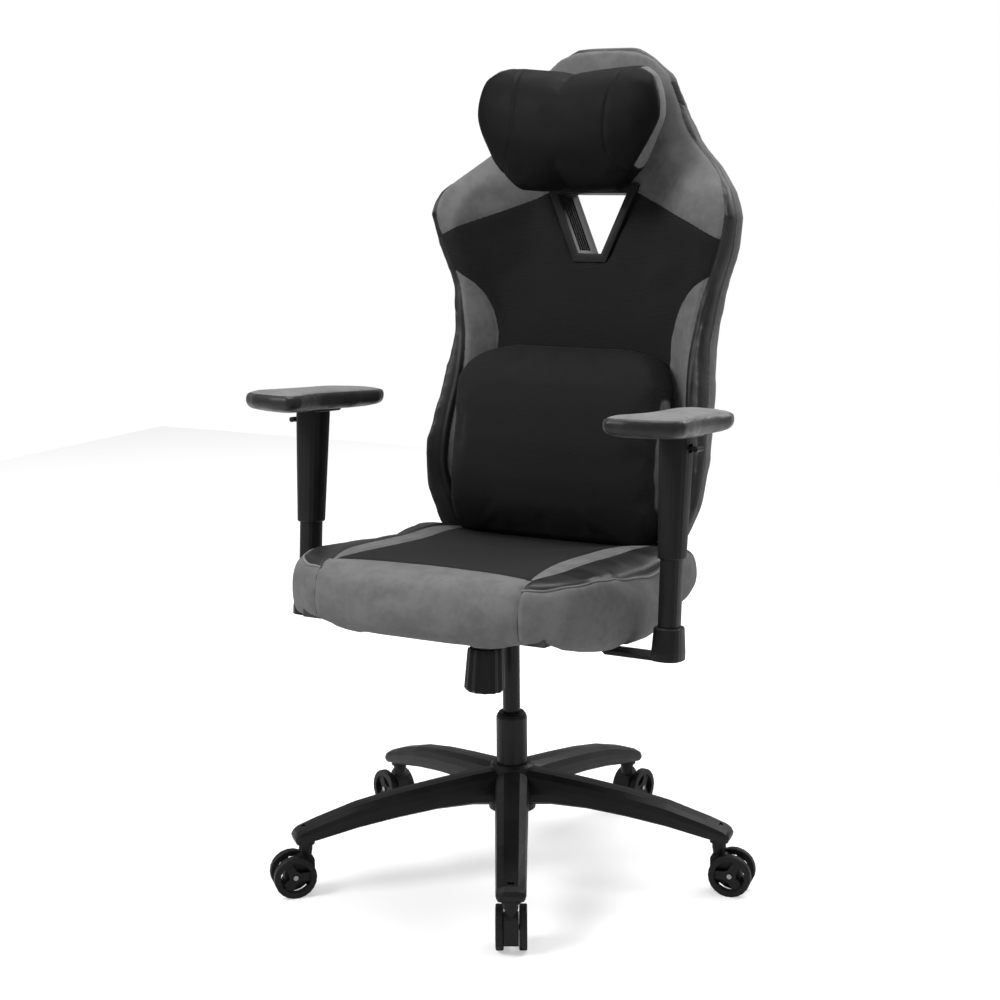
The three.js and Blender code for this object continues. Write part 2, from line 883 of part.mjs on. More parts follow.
// Half width of the seat by distance along it, as a share of its length from the front.
const seatHalf = curve([
  [0.0, 0.0],
  [0.012, 0.44],
  [0.04, 0.68],
  [0.1, 0.9],
  [0.2, 0.99],
  [0.36, 1.0],
  [0.52, 0.965],
  [0.68, 0.955],
  [0.84, 0.98],
  [0.93, 0.93],
  [0.98, 0.78],
  [1.0, 0.6],
]);

// Height of the cushion's lower edge along its length.
const seatSkirt = curve([
  [0.0, -8],
  [0.1, -12],
  [0.28, -22],
  [0.45, -26],
  [0.6, -26],
  [0.75, -8],
  [0.92, 22],
  [1.0, 34],
]);

// Height of the cushion's top edge along its length, below the top of the middle.
const seatFall = curve([
  [0.0, 9],
  [0.1, 3],
  [0.25, 0],
  [0.7, 0],
  [0.86, 6],
  [1.0, 20],
]);

const seatLength = () => SEAT.rear - SEAT.front;

// The seat's outline in plan, drawn in by a distance, from the front round to the front again.
function seatOutline(inset, place) {
  const shares = [0.006, 0.04, 0.1, 0.2, 0.32, 0.45, 0.58, 0.7, 0.82, 0.91, 0.97, 1.0];
  const grow = (extent) => (extent - inset) / extent;
  const middle = (SEAT.front + SEAT.rear) / 2;
  const half = shares.map((share) => {
    const x = (seatHalf(share) * SEAT.width) / 2;
    const y = SEAT.front + share * seatLength();
    return [x * grow(SEAT.width / 2), middle + (y - middle) * grow(seatLength() / 2), share];
  });
  const far = [...half].reverse().map(([x, y, share]) => [-x, y, share]);
  return [...half, ...far].map(([x, y, share]) => place(x, y, share));
}

function seatCushion() {
  const levels = [
    [26, 0],
    [6, 0.05],
    [0, 0.3],
    [0, 0.7],
    [7, 0.93],
    [22, 1],
    [90, 1.03],
  ];
  const rings = levels.map(([inset, rise]) =>
    seatOutline(inset, (x, y, share) => {
      const low = seatSkirt(share);
      return new THREE.Vector3(x, y, low + (SEAT.topZ - seatFall(share) - low) * rise);
    }),
  );
  const body = loft(rings);
  const half = PAN.halfWidth + GAP;
  const under = block(
    [-half, PAN.front - GAP, -THROUGH],
    [half, PAN.rear + GAP, SEAT.panThickness + 2 * GAP],
  );
  const passages = [-1, 1].map((side) => bracketPassage(side));
  return cut(body, under, barPassage(), ...passages);
}

// The way through the skirt for an armrest's bracket.
function bracketPassage(side) {
  const inner = side * (PAN.halfWidth - 10);
  const outer = side * (ARM.joggleTo + 4);
  return block(
    [Math.min(inner, outer), ARM.y - ARM.barWidth / 2 - 4, -60],
    [Math.max(inner, outer), ARM.y + ARM.barWidth / 2 + 4, 2],
  );
}

// The way out at the rear for the bar that carries the back.
function barPassage() {
  const half = BACK_BAR.width / 2 + 4;
  return block([-half, 0, -60], [half, SEAT.rear + 20, 2]);
}

function seatPan() {
  const pan = block(
    [-PAN.halfWidth, PAN.front, GAP],
    [PAN.halfWidth, PAN.rear, GAP + SEAT.panThickness],
  );
  const head = barZ(TENSION.boltHeadRadius + 2, -5, SEAT.panThickness + 5, 20).translate(0, TENSION.y, 0);
  return cut(pan, head);
}

// ---------------------------------------------------------------------------------------------
// Back. Its sections are level rings in the seat frame, by height above the seat plate.
// ---------------------------------------------------------------------------------------------

const backShare = (z) => (z - BACK.bottom) / (BACK.top - BACK.bottom);

// Half width as a share of the widest half width.
const backHalfShare = curve([
  [0.0, 0.74],
  [0.03, 0.82],
  [0.07, 0.895],
  [0.115, 0.925],
  [0.17, 0.92],
  [0.25, 0.89],
  [0.33, 0.862],
  [0.4, 0.842],
  [0.46, 0.855],
  [0.51, 0.896],
  [0.56, 0.948],
  [0.61, 0.99],
  [0.65, 1.0],
  [0.69, 0.968],
  [0.73, 0.885],
  [0.77, 0.765],
  [0.8, 0.675],
  [0.845, 0.585],
  [0.885, 0.535],
  [0.92, 0.485],
  [0.955, 0.41],
  [0.98, 0.31],
  [1.0, 0.19],
]);

// How far the side edges stand forward of the middle of the back.
const wing = curve([
  [0.0, 82],
  [0.1, 90],
  [0.16, 92],
  [0.24, 80],
  [0.33, 66],
  [0.39, 56],
  [0.45, 53],
  [0.51, 50],
  [0.56, 60],
  [0.61, 78],
  [0.65, 86],
  [0.69, 82],
  [0.73, 50],
  [0.77, 20],
  [0.82, 4],
  [1.0, 0],
]);

// Depth of the side wall, and of the back at its middle.
const wallDepth = curve([
  [0.0, 36],
  [0.1, 42],
  [0.24, 74],
  [0.33, 84],
  [0.4, 84],
  [0.5, 74],
  [0.58, 72],
  [0.65, 74],
  [0.73, 56],
  [0.8, 40],
  [1.0, 34],
]);

const middleDepth = curve([
  [0.0, 76],
  [0.3, 76],
  [0.6, 66],
  [0.8, 50],
  [1.0, 40],
]);

// Where the dish between the wings starts, as a share of the half width.
const dishStart = curve([
  [0.0, 0.62],
  [0.45, 0.62],
  [0.56, 0.42],
  [0.65, 0.35],
  [1.0, 0.3],
]);

const backHalf = (z) => (backHalfShare(backShare(z)) * BACK.width) / 2;
const middleY = (z) => BACK.midY + (z - BACK.sillZ) * Math.tan(BACK.recline);

// The front face of the back at x and height z.
function backFront(x, z) {
  const share = backShare(z);
  const across = Math.abs(x) / backHalf(z);
  const start = dishStart(share);
  return middleY(z) - wing(share) * smoothStep((across - start) / (1 - start));
}

// The back's rear face, and the face between cushion and shell.
function backRear(x, z) {
  const share = backShare(z);
  const edge = middleY(z) - wing(share) + wallDepth(share);
  const middle = middleY(z) + middleDepth(share);
  return edge + (middle - edge) * (1 - Math.min(Math.abs(x) / backHalf(z), 1) ** 3);
}

function backParting(x, z) {
  const share = backShare(z);
  const edge = middleY(z) - wing(share) + wallDepth(share) * 0.45;
  const middle = middleY(z) + middleDepth(share) - BACK.shell;
  return edge + (middle - edge) * (1 - Math.min(Math.abs(x) / backHalf(z), 1) ** 3);
}

// The back's lowest rings follow the seat's top, which curves down behind.
function backFoot(y, z) {
  const fade = smoothStep(1 - (z - BACK.bottom) / 60);
  const share = (y - SEAT.front) / seatLength();
  return -fade * Math.max(seatFall(Math.min(share, 0.96)) - 1, 0);
}

// A level ring of the back at height z, between a front and a rear face, grown outwards.
function backRing(z, front, rear, grow = 0) {
  const half = backHalf(z);
  const steps = [-1, -0.97, -0.86, -0.68, -0.4, 0, 0.4, 0.68, 0.86, 0.97, 1];
  const point = (x, y) => new THREE.Vector3(x * (1 + grow / half), y, z + backFoot(y, z));
  const ahead = steps.map((share) => {
    const ease = Math.abs(share) === 1 ? 7 : Math.abs(share) > 0.95 ? 1 : 0;
    return point(share * half, front(share * half, z) + ease - grow);
  });
  const behind = [...steps].reverse().map((share) => point(share * half, rear(share * half, z) + grow));
  return [...ahead, ...behind];
}

const backHeights = () =>
  [0, 0.03, 0.08, 0.17, 0.28, 0.4, 0.5, 0.58, 0.65, 0.7, 0.75, 0.8, 0.87, 0.94, 0.98, 1].map(
    (share) => BACK.bottom + share * (BACK.top - BACK.bottom),
  );

const backSolid = (front, rear, grow = 0) =>
  loft(backHeights().map((z) => backRing(z, front, rear, grow)));

// The opening's outline in X and Z, drawn in by a distance.
function openingOutline(inset, z0, z1) {
  const { sillHalfWidth, headHalfWidth, height } = OPENING;
  const sill = BACK.sillZ;
  const widen = (headHalfWidth - sillHalfWidth) / height;
  const half = (z) => sillHalfWidth + (z - sill) * widen - inset * Math.hypot(1, widen);
  return [
    [half(z0), z0],
    [half(z1), z1],
    [-half(z1), z1],
    [-half(z0), z0],
  ];
}

// The opening as a prism along Y, from the front of the back to its rear.
function openingPrism(inset, y0, y1) {
  const z0 = BACK.sillZ + inset;
  const z1 = BACK.sillZ + OPENING.height - inset;
  const shape = new THREE.Shape(openingOutline(inset, z0, z1).map(([x, z]) => new THREE.Vector2(x, z)));
  return slab(shape, -y1, -y0).rotateX(Math.PI / 2);
}

const openingFront = () => middleY(BACK.sillZ) - OPENING.proud;
const openingRear = () => middleY(BACK.sillZ + OPENING.height) + middleDepth(backShare(BACK.sillZ)) + 2;

// Everything ahead of the face between cushion and shell, set back by a distance.
function aheadOfParting(setBack) {
  const heights = backHeights();
  const wide = (z, at) =>
    backRing(z, (x, h) => backFront(x, h) - 60, (x, h) => backParting(x, h) + setBack)
      .map((p) => new THREE.Vector3(p.x * 1.03, p.y, at ?? p.z));
  return loft([
    wide(heights[0], BACK.bottom - 40),
    ...heights.map((z) => wide(z)),
    wide(heights.at(-1), BACK.top + 10),
  ]);
}

function backCushion() {
  const whole = backSolid(backFront, backRear);
  return cut(common(whole, aheadOfParting(0)), openingPrism(0, 0, THROUGH));
}

function backShell() {
  const whole = backSolid(backFront, backRear);
  return cut(whole, aheadOfParting(GAP), openingPrism(0, 0, THROUGH));
}

function openingTrim() {
  const y0 = openingFront();
  const y1 = openingRear();
  return cut(openingPrism(GAP, y0, y1), openingPrism(OPENING.rim, y0 - 20, y1 + 20));
}

// The lumbar pad swells forward of the back's lower half, between the wings.
const lumbarFront = curve([
  [0.0, 126],
  [0.12, 104],
  [0.25, 95],
  [0.55, 96],
  [0.8, 110],
  [0.93, 126],
  [1.0, 150],
]);

function lumbarCushion() {
  const { halfWidth, bottom, height, cornerRadius } = LUMBAR;
  const top = bottom + height;
  const shares = [0, 0.05, 0.14, 0.3, 0.5, 0.7, 0.84, 0.93, 0.98, 1];
  const rings = shares.map((share) => {
    const z = bottom + share * (top - bottom);
    const fromTop = Math.max(cornerRadius - (top - z), 0);
    const fromBottom = Math.max(22 - (z - bottom), 0);
    const trim = cornerRadius - Math.sqrt(cornerRadius ** 2 - fromTop ** 2 * 0.98);
    const half = halfWidth - trim - fromBottom * 0.6;
    const steps = [-1, -0.96, -0.8, -0.4, 0, 0.4, 0.8, 0.96, 1];
    const y = lumbarFront(share);
    const ahead = steps.map((s) => {
      const edge = Math.abs(s) === 1 ? 9 : Math.abs(s) > 0.9 ? 1 : 0;
      return new THREE.Vector3(s * half, Math.min(y + edge + 6 * s * s, backFront(s * half, z) - 2), z);
    });
    const behind = [...steps]
      .reverse()
      .map((s) => new THREE.Vector3(s * half, backFront(s * half, z) - 1, z));
    return [...ahead, ...behind];
  });
  const held = backSolid((x, z) => backFront(x, z) - 0.5, backRear);
  return cut(loft(rings), held);
}

// Outline of the pillow by distance from its middle, as shares of its height above and below the
// middle and of its depth from the front: wide at the top, with its ends drawn in behind.
const pillowTop = curve([
  [0.0, 0.47],
  [0.5, 0.5],
  [0.75, 0.5],
  [0.9, 0.42],
  [0.97, 0.28],
  [1.0, 0.15],
]);

const pillowBottom = curve([
  [0.0, 0.47],
  [0.35, 0.5],
  [0.55, 0.48],
  [0.72, 0.36],
  [0.86, 0.16],
  [0.96, 0.0],
  [1.0, -0.06],
]);

const pillowFront = curve([
  [0.0, 0.0],
  [0.6, 0.02],
  [0.85, 0.08],
  [0.95, 0.16],
  [1.0, 0.3],
]);

const pillowRear = curve([
  [0.0, 1.0],
  [0.5, 0.97],
  [0.75, 0.8],
  [0.9, 0.6],
  [0.97, 0.5],
  [1.0, 0.42],
]);

// The neck pillow leans with the back and stands just clear of it.
function neckPillow() {
  const { width, height, depth, z, aside } = PILLOW;
  const stations = [-1, -0.97, -0.9, -0.76, -0.54, -0.28, 0, 0.28, 0.54, 0.76, 0.9, 0.97, 1];
  const lean = Math.tan(BACK.recline);
  const rings = stations.map((station) => {
    const share = Math.abs(station);
    const top = height * pillowTop(share);
    const bottom = -height * pillowBottom(share);
    const front = depth * pillowFront(share);
    const rear = depth * pillowRear(share);
    return superRing(rear - front, top - bottom, 2.4, 14, (a, b) => {
      const rise = (top + bottom) / 2 + b;
      const y = (front + rear) / 2 + a + rise * lean;
      return new THREE.Vector3(aside + (station * width) / 2, y, z + rise);
    });
  });
  const clear = Math.min(...rings.flat().map((p) => backFront(p.x, p.z) - p.y));
  return loft(rings).translate(0, clear - PILLOW.rearGap, 0);
}

function pillowStrap() {
  const { strapHeight, strapThickness, strapZ } = PILLOW;
  const outer = backSolid(backFront, backRear, GAP + strapThickness);
  const inner = backSolid(backFront, backRear, GAP);
  const band = block(
    [-BACK.width, 0, strapZ - strapHeight / 2],
    [BACK.width, THROUGH, strapZ + strapHeight / 2],
  );
  return cut(common(outer, band), inner);
}

// A steel bar bolted under the seat pan, bent up behind the shell.
function backBar() {
  const b = BACK_BAR;
  const t = b.thickness;
  const behind = (z) => backRear(0, z) + b.clearBehind;
  const low = -GAP - t;
  const foot = behind(BACK.bottom);
  const lean = Math.tan(BACK.recline);
  const outer = (z) => foot + t + (z - BACK.bottom) * lean;
  const inner = (z) => foot + (z - BACK.bottom) * lean;
  const outline = [
    [b.frontY, low],
    [outer(0) - b.bend, low],
    [outer(b.bend), low + b.bend],
    [outer(b.top), b.top],
    [inner(b.top), b.top],
    [inner(b.bend + t), low + b.bend + t * 0.6],
    [inner(0) - b.bend * 0.8, low + t],
    [b.frontY, low + t],
  ];
  const bar = sidePlate(outline, -b.width / 2, b.width / 2);
  const padZ = b.top - 46;
  const reach = block(
    [-b.width / 2, backRear(0, padZ) - 30, padZ],
    [b.width / 2, outer(padZ) - 2, b.top - 10],
  );
  const shell = backSolid(backFront, backRear, GAP);
  return join(bar, cut(reach, shell));
}

// ---------------------------------------------------------------------------------------------
// Armrests, drawn on the sitter's left; the right one is its mirror image
// ---------------------------------------------------------------------------------------------

const ovalLoft = (levels) =>
  loft(
    levels.map(([z, width, depth]) =>
      superRing(width, depth, 2.8, 20, (a, b) => new THREE.Vector3(ARM.x + a, ARM.y + b, z)),
    ),
  );

function armBracket() {
  const a = ARM;
  const t = a.barThickness;
  const y0 = a.y - a.barWidth / 2;
  const y1 = a.y + a.barWidth / 2;
  const outline = [
    [a.barInner, -GAP - t],
    [a.joggleFrom - 2, -GAP - t],
    [a.joggleTo - 2, -a.barDrop],
    [a.x, -a.barDrop],
    [a.x, -a.barDrop + t],
    [a.joggleTo, -a.barDrop + t],
    [a.joggleFrom, -GAP],
    [a.barInner, -GAP],
  ];
  const shape = new THREE.Shape(outline.map(([x, z]) => new THREE.Vector2(x, z)));
  const bar = slab(shape, -y1, -y0).rotateX(Math.PI / 2);
  const socket = ovalLoft([
    [a.socketBottom, ...a.socketBottomSize],
    [a.socketBottom + 12, ...a.socketBottomSize],
    [a.socketTop - 2, ...a.socketTopSize],
    [a.socketTop, a.socketTopSize[0] - 3, a.socketTopSize[1] - 3],
  ]);
  const [w, d] = a.postSize;
  const hole = ovalLoft([
    [a.socketBottom + 6, w + 2 * GAP, d + 2 * GAP],
    [a.socketTop + 5, w + 2 * GAP, d + 2 * GAP],
  ]);
  return cut(join(bar, socket), hole);
}

function armPost() {
  const [w, d] = ARM.postSize;
  const wall = 2 * ARM.postWall;
  const outer = ovalLoft([
    [ARM.socketBottom + 6 + GAP, w, d],
    [ARM.postTop, w, d],
  ]);
  const bore = ovalLoft([
    [ARM.socketBottom + 20, w - wall, d - wall],
    [ARM.postTop + 5, w - wall, d - wall],
  ]);
  return cut(outer, bore);
}

function armSleeve() {
  const a = ARM;
  const [w, d] = a.postSize;
  const body = ovalLoft([
    [a.sleeveBottom, a.sleeveBottomSize[0] - 2, a.sleeveBottomSize[1] - 2],
    [a.sleeveBottom + 2, ...a.sleeveBottomSize],
    [a.sleeveTop - 10, ...a.sleeveTopSize],
    [a.sleeveTop, ...a.sleeveTopSize],
  ]);
  const cavityTop = a.sleeveTop - a.pivotDepth - 12;
  const cavity = ovalLoft([
    [a.sleeveBottom - 5, w + 2 * RUN, d + 2 * RUN],
    [cavityTop, w + 2 * RUN, d + 2 * RUN],
  ]);
  const pivot = barZ(a.pivotRadius + RUN, a.sleeveTop - a.pivotDepth - 1, a.sleeveTop + 5, 20);
  const outside = a.x + a.sleeveTopSize[0] / 2;
  const slot = block(
    [outside - TRIGGER.slotDepth, a.y - TRIGGER.width / 2 - RUN, TRIGGER.z - TRIGGER.slot / 2],
    [outside + 20, a.y + TRIGGER.width / 2 + RUN, TRIGGER.z + TRIGGER.slot / 2],
  );
  return cut(body, cavity, pivot.translate(a.x, a.y, 0), slot);
}

// The height trigger: a finger plate on a stem, hinged in the sleeve's outer slot.
function armTrigger() {
  const t = TRIGGER;
  const outside = ARM.x + ARM.sleeveTopSize[0] / 2;
  const root = outside - t.slotDepth + 1;
  const tongue = block(
    [root, ARM.y - t.width / 2, t.z - t.thickness / 2],
    [outside + t.reach - 4, ARM.y + t.width / 2, t.z + t.thickness / 2],
  );
  const finger = barY(t.thickness * 0.85, -t.width * 0.85, t.width * 0.85, 14);
  return join(tongue, finger.translate(outside + t.reach - 4, ARM.y, t.z));
}

// The turning plate on top of the sleeve, with the spindle it turns on and a rail for the pad.
function armCarriage() {
  const a = ARM;
  const z0 = a.sleeveTop + GAP;
  const levels = [
    [z0, -3],
    [z0 + 2, 0],
    [z0 + a.carriageThickness - a.railRise, 0],
  ];
  const plate = loft(
    levels.map(([z, grow]) =>
      superRing(a.carriageWidth + grow, a.carriageLength + grow, 5, 24, (x, y) =>
        new THREE.Vector3(a.x + x, a.y + y, z),
      ),
    ),
  );
  const spindle = barZ(a.pivotRadius, a.sleeveTop - a.pivotDepth, z0 + 2, 20).translate(a.x, a.y, 0);
  const rail = block(
    [a.x - a.railHalfWidth, a.y - a.carriageLength / 2 + a.railEnd, z0 + 2],
    [a.x + a.railHalfWidth, a.y + a.carriageLength / 2 - a.railEnd, z0 + a.carriageThickness],
  );
  return join(plate, spindle, rail);
}

// The pad's outline from above, by share of its width (outwards) and of its length (front to rear).
const PAD_OUTLINE = [
  [-0.42, 0.0],
  [-0.16, 0.004],
  [0.2, 0.04],
  [0.43, 0.1],
  [0.5, 0.16],
  [0.49, 0.26],
  [0.44, 0.42],
  [0.43, 0.62],
  [0.45, 0.8],
  [0.38, 0.9],
  [0.16, 0.97],
  [-0.2, 1.0],
  [-0.4, 0.985],
  [-0.47, 0.9],
  [-0.45, 0.7],
  [-0.4, 0.5],
  [-0.39, 0.36],
  [-0.45, 0.22],
  [-0.5, 0.1],
  [-0.49, 0.03],
];

function armPad() {
  const a = ARM;
  const z0 = a.sleeveTop + 2 * GAP + a.carriageThickness - a.railRise;
  const ring = (z, shrink) =>
    PAD_OUTLINE.map(([across, along]) => {
      const x = across * (a.padWidth - shrink);
      const y = (along - 0.5) * (a.padLength - shrink);
      return new THREE.Vector3(a.x + x, a.y + y, z);
    });
  const top = z0 + a.padThickness;
  const body = loft([
    ring(z0, 12),
    ring(z0 + 4, 10),
    ring(z0 + 6, 2),
    ring(z0 + 10, 0),
    ring(top - 6, 0),
    ring(top - 1.5, 5),
    ring(top, 22),
  ]);
  const groove = block(
    [a.x - a.railHalfWidth - RUN, a.y - a.padLength / 2 + a.slideEnd, z0 - a.railRise],
    [a.x + a.railHalfWidth + RUN, a.y + a.padLength / 2 - a.slideEnd, z0 + a.railRise + RUN],
  );
  return cut(body, groove);
}

// The same geometry on the sitter's right.
function mirrored(geometry) {
  const flipped = geometry.clone().scale(-1, 1, 1);
  return outward(flipped.index ? flipped.toNonIndexed() : flipped);
}

function addArm(side) {
  const hand = side > 0 ? (g) => g : mirrored;
  const name = "arm_" + (side > 0 ? "left" : "right");
  add(seatFrame, name + "_bracket", hand(armBracket()), MATERIAL.blackSteel);
  add(seatFrame, name + "_post", hand(armPost()), MATERIAL.blackSteel);
  add(seatFrame, name + "_sleeve", hand(armSleeve()), MATERIAL.plastic);
  add(seatFrame, name + "_trigger", hand(armTrigger()), MATERIAL.plastic);
  add(seatFrame, name + "_carriage", hand(armCarriage()), MATERIAL.plastic);
  add(seatFrame, name + "_pad", hand(armPad()), MATERIAL.leather);
}

// ---------------------------------------------------------------------------------------------
// Assembly
// ---------------------------------------------------------------------------------------------

const star = add(chair, "base_star", baseStar(), MATERIAL.nylon);
star.rotation.z = BASE.turn;
addCasters();
add(chair, "column_tube", columnTube(), MATERIAL.blackSteel);
add(chair, "column_bush", columnBush(), MATERIAL.plastic);
add(chair, "column_rod", columnRod(), MATERIAL.steel);
add(chair, "column_cylinder", columnCylinder(), MATERIAL.blackSteel);
add(chair, "release_button", releaseButton(), MATERIAL.steel);
add(chair, "mechanism_housing", mechanismHousing(), MATERIAL.blackSteel);
add(chair, "tilt_shaft", tiltShaft(), MATERIAL.steel);
add(chair, "height_lever", heightLever(), MATERIAL.blackSteel);
add(chair, "tilt_lock_lever", tiltLockLever(), MATERIAL.blackSteel);
add(seatFrame, "seat_plate", seatPlate(), MATERIAL.blackSteel);
add(seatFrame, "tension_bolt", tensionBolt(), MATERIAL.steel);
add(seatFrame, "tension_knob", tensionKnob(), MATERIAL.plastic);
add(seatFrame, "tension_spring", tensionSpring(), MATERIAL.steel);
add(seatFrame, "seat_pan", seatPan(), MATERIAL.plywood);
add(seatFrame, "seat_cushion", seatCushion(), MATERIAL.suede);
add(seatFrame, "back_bar", backBar(), MATERIAL.blackSteel);
add(seatFrame, "back_shell", backShell(), MATERIAL.suede);
add(seatFrame, "back_cushion", backCushion(), MATERIAL.knit);
add(seatFrame, "lumbar_cushion", lumbarCushion(), MATERIAL.knit);
add(seatFrame, "opening_trim", openingTrim(), MATERIAL.plastic);
add(seatFrame, "neck_pillow", neckPillow(), MATERIAL.knit);
add(seatFrame, "pillow_strap", pillowStrap(), MATERIAL.leather);
addArm(1);
addArm(-1);

// The part's origin lies on the floor, under the middle of its bounding box.
const box = new THREE.Box3().setFromObject(chair, true);
const middle = box.getCenter(new THREE.Vector3());
for (const child of chair.children)
  child.position.sub(new THREE.Vector3(middle.x, middle.y, box.min.z));

export default chair;
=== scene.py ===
"""High-backed swivel chair: upholstery, trim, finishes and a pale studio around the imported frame.

Metres, +Z up, the sitter faces -Y. Soft pieces are worked out in the seat frame: its origin is on
the column's axis at the seat plate, and it leans back by the rake of the seat.
"""

import json
import math

import bmesh
import bpy
import numpy as np
from bpy.props import FloatProperty, FloatVectorProperty, PointerProperty
from mathutils import Matrix, Vector
from mathutils.bvhtree import BVHTree


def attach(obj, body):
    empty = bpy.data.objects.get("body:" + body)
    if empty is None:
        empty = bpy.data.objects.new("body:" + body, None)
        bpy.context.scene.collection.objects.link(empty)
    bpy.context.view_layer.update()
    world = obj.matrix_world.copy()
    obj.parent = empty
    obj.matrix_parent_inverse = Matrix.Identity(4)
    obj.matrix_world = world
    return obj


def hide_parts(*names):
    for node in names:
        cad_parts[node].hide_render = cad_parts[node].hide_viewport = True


bl_info = {
    "name": "Swivel chair",
    "version": (1, 0, 0),
    "blender": (4, 5, 0),
    "location": "3D View > Sidebar > Chair",
    "description": "Upholstery, trim and finishes for a high-backed swivel chair",
    "category": "Add Mesh",
}

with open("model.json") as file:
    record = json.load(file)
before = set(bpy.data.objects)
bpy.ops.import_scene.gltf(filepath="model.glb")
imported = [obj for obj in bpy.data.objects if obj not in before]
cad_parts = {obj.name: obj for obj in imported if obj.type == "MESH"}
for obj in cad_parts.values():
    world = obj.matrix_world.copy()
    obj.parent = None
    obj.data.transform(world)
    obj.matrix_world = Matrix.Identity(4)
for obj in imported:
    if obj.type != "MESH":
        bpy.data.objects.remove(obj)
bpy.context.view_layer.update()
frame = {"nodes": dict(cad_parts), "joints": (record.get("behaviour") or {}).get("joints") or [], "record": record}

MM = 0.001


# ------------------------------------------------------------------------------------------------
# The seat frame
# ------------------------------------------------------------------------------------------------


def joint(name):
    """A joint of the frame by its name."""
    return next(j for j in frame["joints"] if j["name"] == name)


PLATE_HEIGHT = 0.44065  # top of the seat plate on the column's axis
UP = Vector(joint("tension_knob_turn")["axis"])  # the seat frame's own upright
COLUMN = joint("column_swivel")["pos_m"]
RAKE = math.atan2(UP.y, UP.z)
SEAT_FRAME = Matrix.Translation((COLUMN[0], COLUMN[1], PLATE_HEIGHT)) @ Matrix.Rotation(-RAKE, 4, "X")


def into(matrix, points):
    """Points, as an array, moved by a matrix."""
    m = np.array(matrix)
    return points @ m[:3, :3].T + m[:3, 3]


def in_seat_frame(points):
    return into(SEAT_FRAME.inverted(), points)


def from_seat_frame(points):
    return into(SEAT_FRAME, points)


# ------------------------------------------------------------------------------------------------
# Mesh helpers
# ------------------------------------------------------------------------------------------------


def deselect():
    if bpy.context.object and bpy.context.object.mode != "OBJECT":
        bpy.ops.object.mode_set(mode="OBJECT")
    bpy.ops.object.select_all(action="DESELECT")


def only(piece):
    """Makes one object the selected and active one."""
    deselect()
    piece.select_set(True)
    bpy.context.view_layer.objects.active = piece


def points_of(piece):
    flat = np.empty(len(piece.data.vertices) * 3)
    piece.data.vertices.foreach_get("co", flat)
    return flat.reshape(-1, 3)


def normals_of(piece):
    flat = np.empty(len(piece.data.vertices) * 3)
    piece.data.vertex_normals.foreach_get("vector", flat)
    return flat.reshape(-1, 3)


def set_points(piece, points):
    piece.data.vertices.foreach_set("co", np.ascontiguousarray(points, dtype=np.float64).ravel())
    piece.data.update()


def store(piece, name, values):
    """Keeps a number at each vertex for the materials to read."""
    attribute = piece.data.attributes.new(name, "FLOAT", "POINT")
    attribute.data.foreach_set("value", np.asarray(values, dtype=np.float32))


def applied(piece, kind, **settings):
    """Adds a modifier and applies it."""
    only(piece)
    modifier = piece.modifiers.new(kind.title(), kind)
    for key, value in settings.items():
        setattr(modifier, key, value)
    bpy.ops.object.modifier_apply(modifier=modifier.name)
    return piece


def copy_of(name, *nodes):
    """A new object with the merged meshes of some nodes of the frame."""
    deselect()
    copies = []
    for node in nodes:
        source = frame["nodes"][node]
        piece = bpy.data.objects.new(name, source.data.copy())
        bpy.context.scene.collection.objects.link(piece)
        piece.data.materials.clear()
        copies.append(piece)
    for piece in copies:
        piece.select_set(True)
    bpy.context.view_layer.objects.active = copies[0]
    if len(copies) > 1:
        bpy.ops.object.join()
    piece = bpy.context.object
    piece.name = name
    only(piece)
    bpy.ops.object.mode_set(mode="EDIT")
    bpy.ops.mesh.select_all(action="SELECT")
    bpy.ops.mesh.remove_doubles(threshold=0.00001)
    bpy.ops.object.mode_set(mode="OBJECT")
    return piece


def soften(piece, voxel, rounds, shrink=0.0):
    """An even skin over the piece, its corners rounded off."""
    applied(piece, "REMESH", mode="VOXEL", voxel_size=voxel)
    if shrink:
        set_points(piece, points_of(piece) - normals_of(piece) * shrink)
    applied(piece, "SMOOTH", factor=0.5, iterations=rounds)
    return piece


def inflate(piece, pressure, cap, steps=20, stiffness=15.0, settle=8):
    """Cloth under pressure, with no vertex moved further than the cap, then settled smooth."""
    scene = bpy.context.scene
    only(piece)
    rest = points_of(piece)
    cloth = piece.modifiers.new("Cloth", "CLOTH")
    settings = cloth.settings
    settings.quality = 4
    settings.mass = 0.3
    settings.tension_stiffness = stiffness
    settings.compression_stiffness = stiffness
    settings.shear_stiffness = stiffness / 3
    settings.bending_stiffness = 0.4
    settings.use_pressure = True
    settings.uniform_pressure_force = pressure
    settings.effector_weights.gravity = 0
    cloth.collision_settings.use_collision = False
    cloth.collision_settings.use_self_collision = False
    cloth.point_cache.frame_start = 1
    cloth.point_cache.frame_end = steps
    for step in range(1, steps + 1):
        scene.frame_set(step)
    bpy.ops.object.modifier_apply(modifier=cloth.name)
    moved = points_of(piece) - rest
    length = np.linalg.norm(moved, axis=1, keepdims=True)
    set_points(piece, rest + moved * np.minimum(1, cap / np.maximum(length, 1e-9)))
    scene.frame_set(1)
    return applied(piece, "SMOOTH", factor=0.5, iterations=settle)


def refined(piece, levels=1):
    return applied(piece, "SUBSURF", levels=levels, render_levels=levels)


def smooth_shaded(piece, angle=None):
    only(piece)
    if angle is None:
        bpy.ops.object.shade_smooth()
    else:
        bpy.ops.object.shade_smooth_by_angle(angle=math.radians(angle))
    return piece


# ------------------------------------------------------------------------------------------------
# Flat paths: seams and edges of panels
# ------------------------------------------------------------------------------------------------


